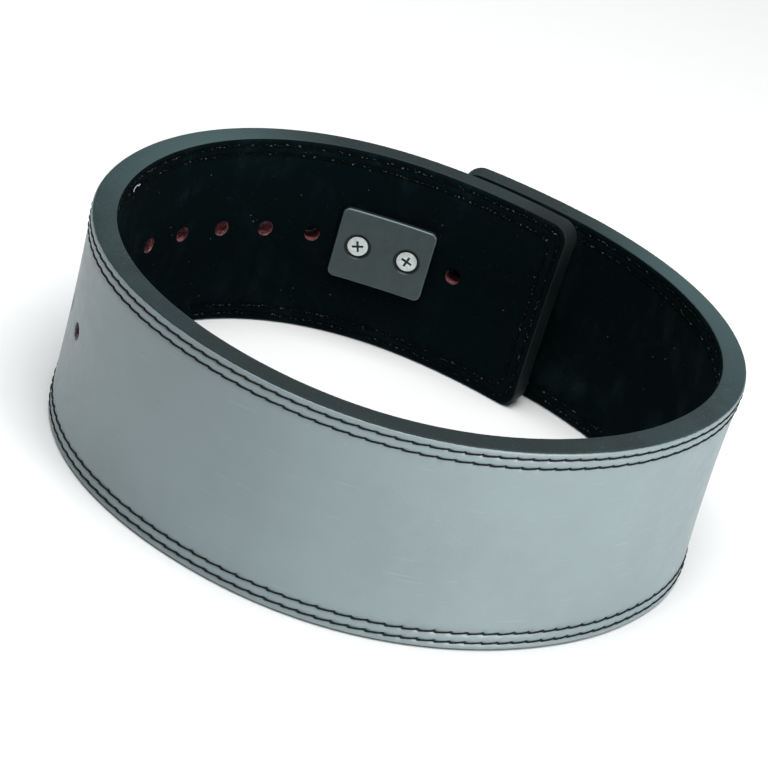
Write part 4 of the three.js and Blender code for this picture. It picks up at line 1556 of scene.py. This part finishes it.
class BuildBuckle(bpy.types.Operator):
    """Closed lever buckle over the outer end"""
    bl_idname = "lifting_belt.lever_buckle"
    bl_label = "Lever buckle"
    bl_options = OPTIONS

    def execute(self, context):
        scene, line = belt(context)
        body = Body()
        buckle_body(body, scene, line, ClampPlate(scene, line))
        finish = coated_steel("buckle_coat", scene.belt_colours.buckle, 0.32, 0.45)
        seat(body.make("closed_lever_buckle", [finish], STEEL_SHARP), "buckle_steel",
             "lever_buckle")
        return {"FINISHED"}


# The stage

SKY_COLOUR = (0.97, 0.99, 1.0, 1.0)
SENSOR_WIDTH = 36.0

AREA_LIGHTS = (
    SimpleNamespace(name="top_light", size=1.6, power=46, place=(0.0, -0.33, 1.82)),
    SimpleNamespace(name="key_light", size=0.5, power=21, place=(1.21, -1.04, 0.22)),
    SimpleNamespace(name="fill_light", size=1.4, power=1, place=(-1.22, -0.72, 1.46)),
    SimpleNamespace(name="back_light", size=1.4, power=4, place=(0.3, 1.8, 1.2)),
)


class BuildStage(bpy.types.Operator):
    """Pale floor, soft light and the camera"""
    bl_idname = "lifting_belt.stage"
    bl_label = "Stage"
    bl_options = OPTIONS

    def execute(self, context):
        scene = context.scene
        stage = scene.belt_stage
        self.lay_floor(scene, stage)
        self.light(scene, stage)
        self.aim_camera(scene, stage)
        scene.view_settings.view_transform = "Standard"
        scene.view_settings.look = "None"
        return {"FINISHED"}

    def lay_floor(self, scene, stage):
        half = stage.floor_size / 2
        mesh = bpy.data.meshes.new("floor")
        mesh.from_pydata([(-half, -half, 0), (half, -half, 0), (half, half, 0), (-half, half, 0)],
                         [], [(0, 1, 2, 3)])
        mesh.materials.append(plain_floor(scene.belt_colours))
        floor = bpy.data.objects.new("floor", mesh)
        scene.collection.objects.link(floor)

    def light(self, scene, stage):
        world = bpy.data.worlds.new("even_light")
        world.use_nodes = True
        background = world.node_tree.nodes["Background"]
        background.inputs["Color"].default_value = SKY_COLOUR
        background.inputs["Strength"].default_value = stage.sky
        scene.world = world
        for row in AREA_LIGHTS:
            light = bpy.data.lights.new(row.name, "AREA")
            light.size = row.size
            light.energy = row.power
            lamp = bpy.data.objects.new(row.name, light)
            lamp.location = row.place
            towards = Vector(stage.aim) - lamp.location
            lamp.rotation_euler = towards.to_track_quat("-Z", "Y").to_euler()
            scene.collection.objects.link(lamp)

    def aim_camera(self, scene, stage):
        lens = bpy.data.cameras.new("camera")
        lens.lens = stage.focal
        lens.sensor_width = SENSOR_WIDTH
        camera = bpy.data.objects.new("camera", lens)
        away = Vector((0.0, -math.cos(stage.elevation), math.sin(stage.elevation)))
        camera.matrix_world = (Matrix.Translation(Vector(stage.aim) + away * stage.distance)
                               @ Matrix.Rotation(math.pi / 2 - stage.elevation, 4, "X")
                               @ Matrix.Rotation(stage.roll, 4, "Z"))
        scene.collection.objects.link(camera)
        scene.camera = camera


OPERATORS = (BuildStage, BuildCore, BuildFace, BuildLining, BuildStitches, BuildLint, BuildPlate,
             BuildScrews, BuildBuckle)


class LiftingBeltPanel(bpy.types.Panel):
    """Lists the pieces with their sizes"""
    bl_idname = "VIEW3D_PT_lifting_belt"
    bl_label = "Lifting Belt"
    bl_space_type = "VIEW_3D"
    bl_region_type = "UI"
    bl_category = "Lifting Belt"

    def draw(self, context):
        for operator in OPERATORS:
            self.layout.operator(operator.bl_idname)
        for key, group in GROUPS.items():
            box = self.layout.box()
            box.label(text=group.__doc__)
            for name in group.__annotations__:
                box.prop(getattr(context.scene, key), name)


CLASSES = (*GROUPS.values(), *OPERATORS, LiftingBeltPanel)


def register():
    for kind in CLASSES:
        bpy.utils.register_class(kind)
    for key, group in GROUPS.items():
        setattr(bpy.types.Scene, key, PointerProperty(type=group))


def unregister():
    for key in GROUPS:
        delattr(bpy.types.Scene, key)
    for kind in reversed(CLASSES):
        bpy.utils.unregister_class(kind)


def main():
    register()
    bpy.ops.lifting_belt.stage()
    bpy.ops.lifting_belt.leather_core()
    bpy.ops.lifting_belt.outer_face()
    bpy.ops.lifting_belt.suede_lining()
    bpy.ops.lifting_belt.stitches()
    bpy.ops.lifting_belt.lint()
    bpy.ops.lifting_belt.backing_plate()
    bpy.ops.lifting_belt.screws()
    bpy.ops.lifting_belt.lever_buckle()
    bpy.context.view_layer.update()


if __name__ == "__main__":
    main()
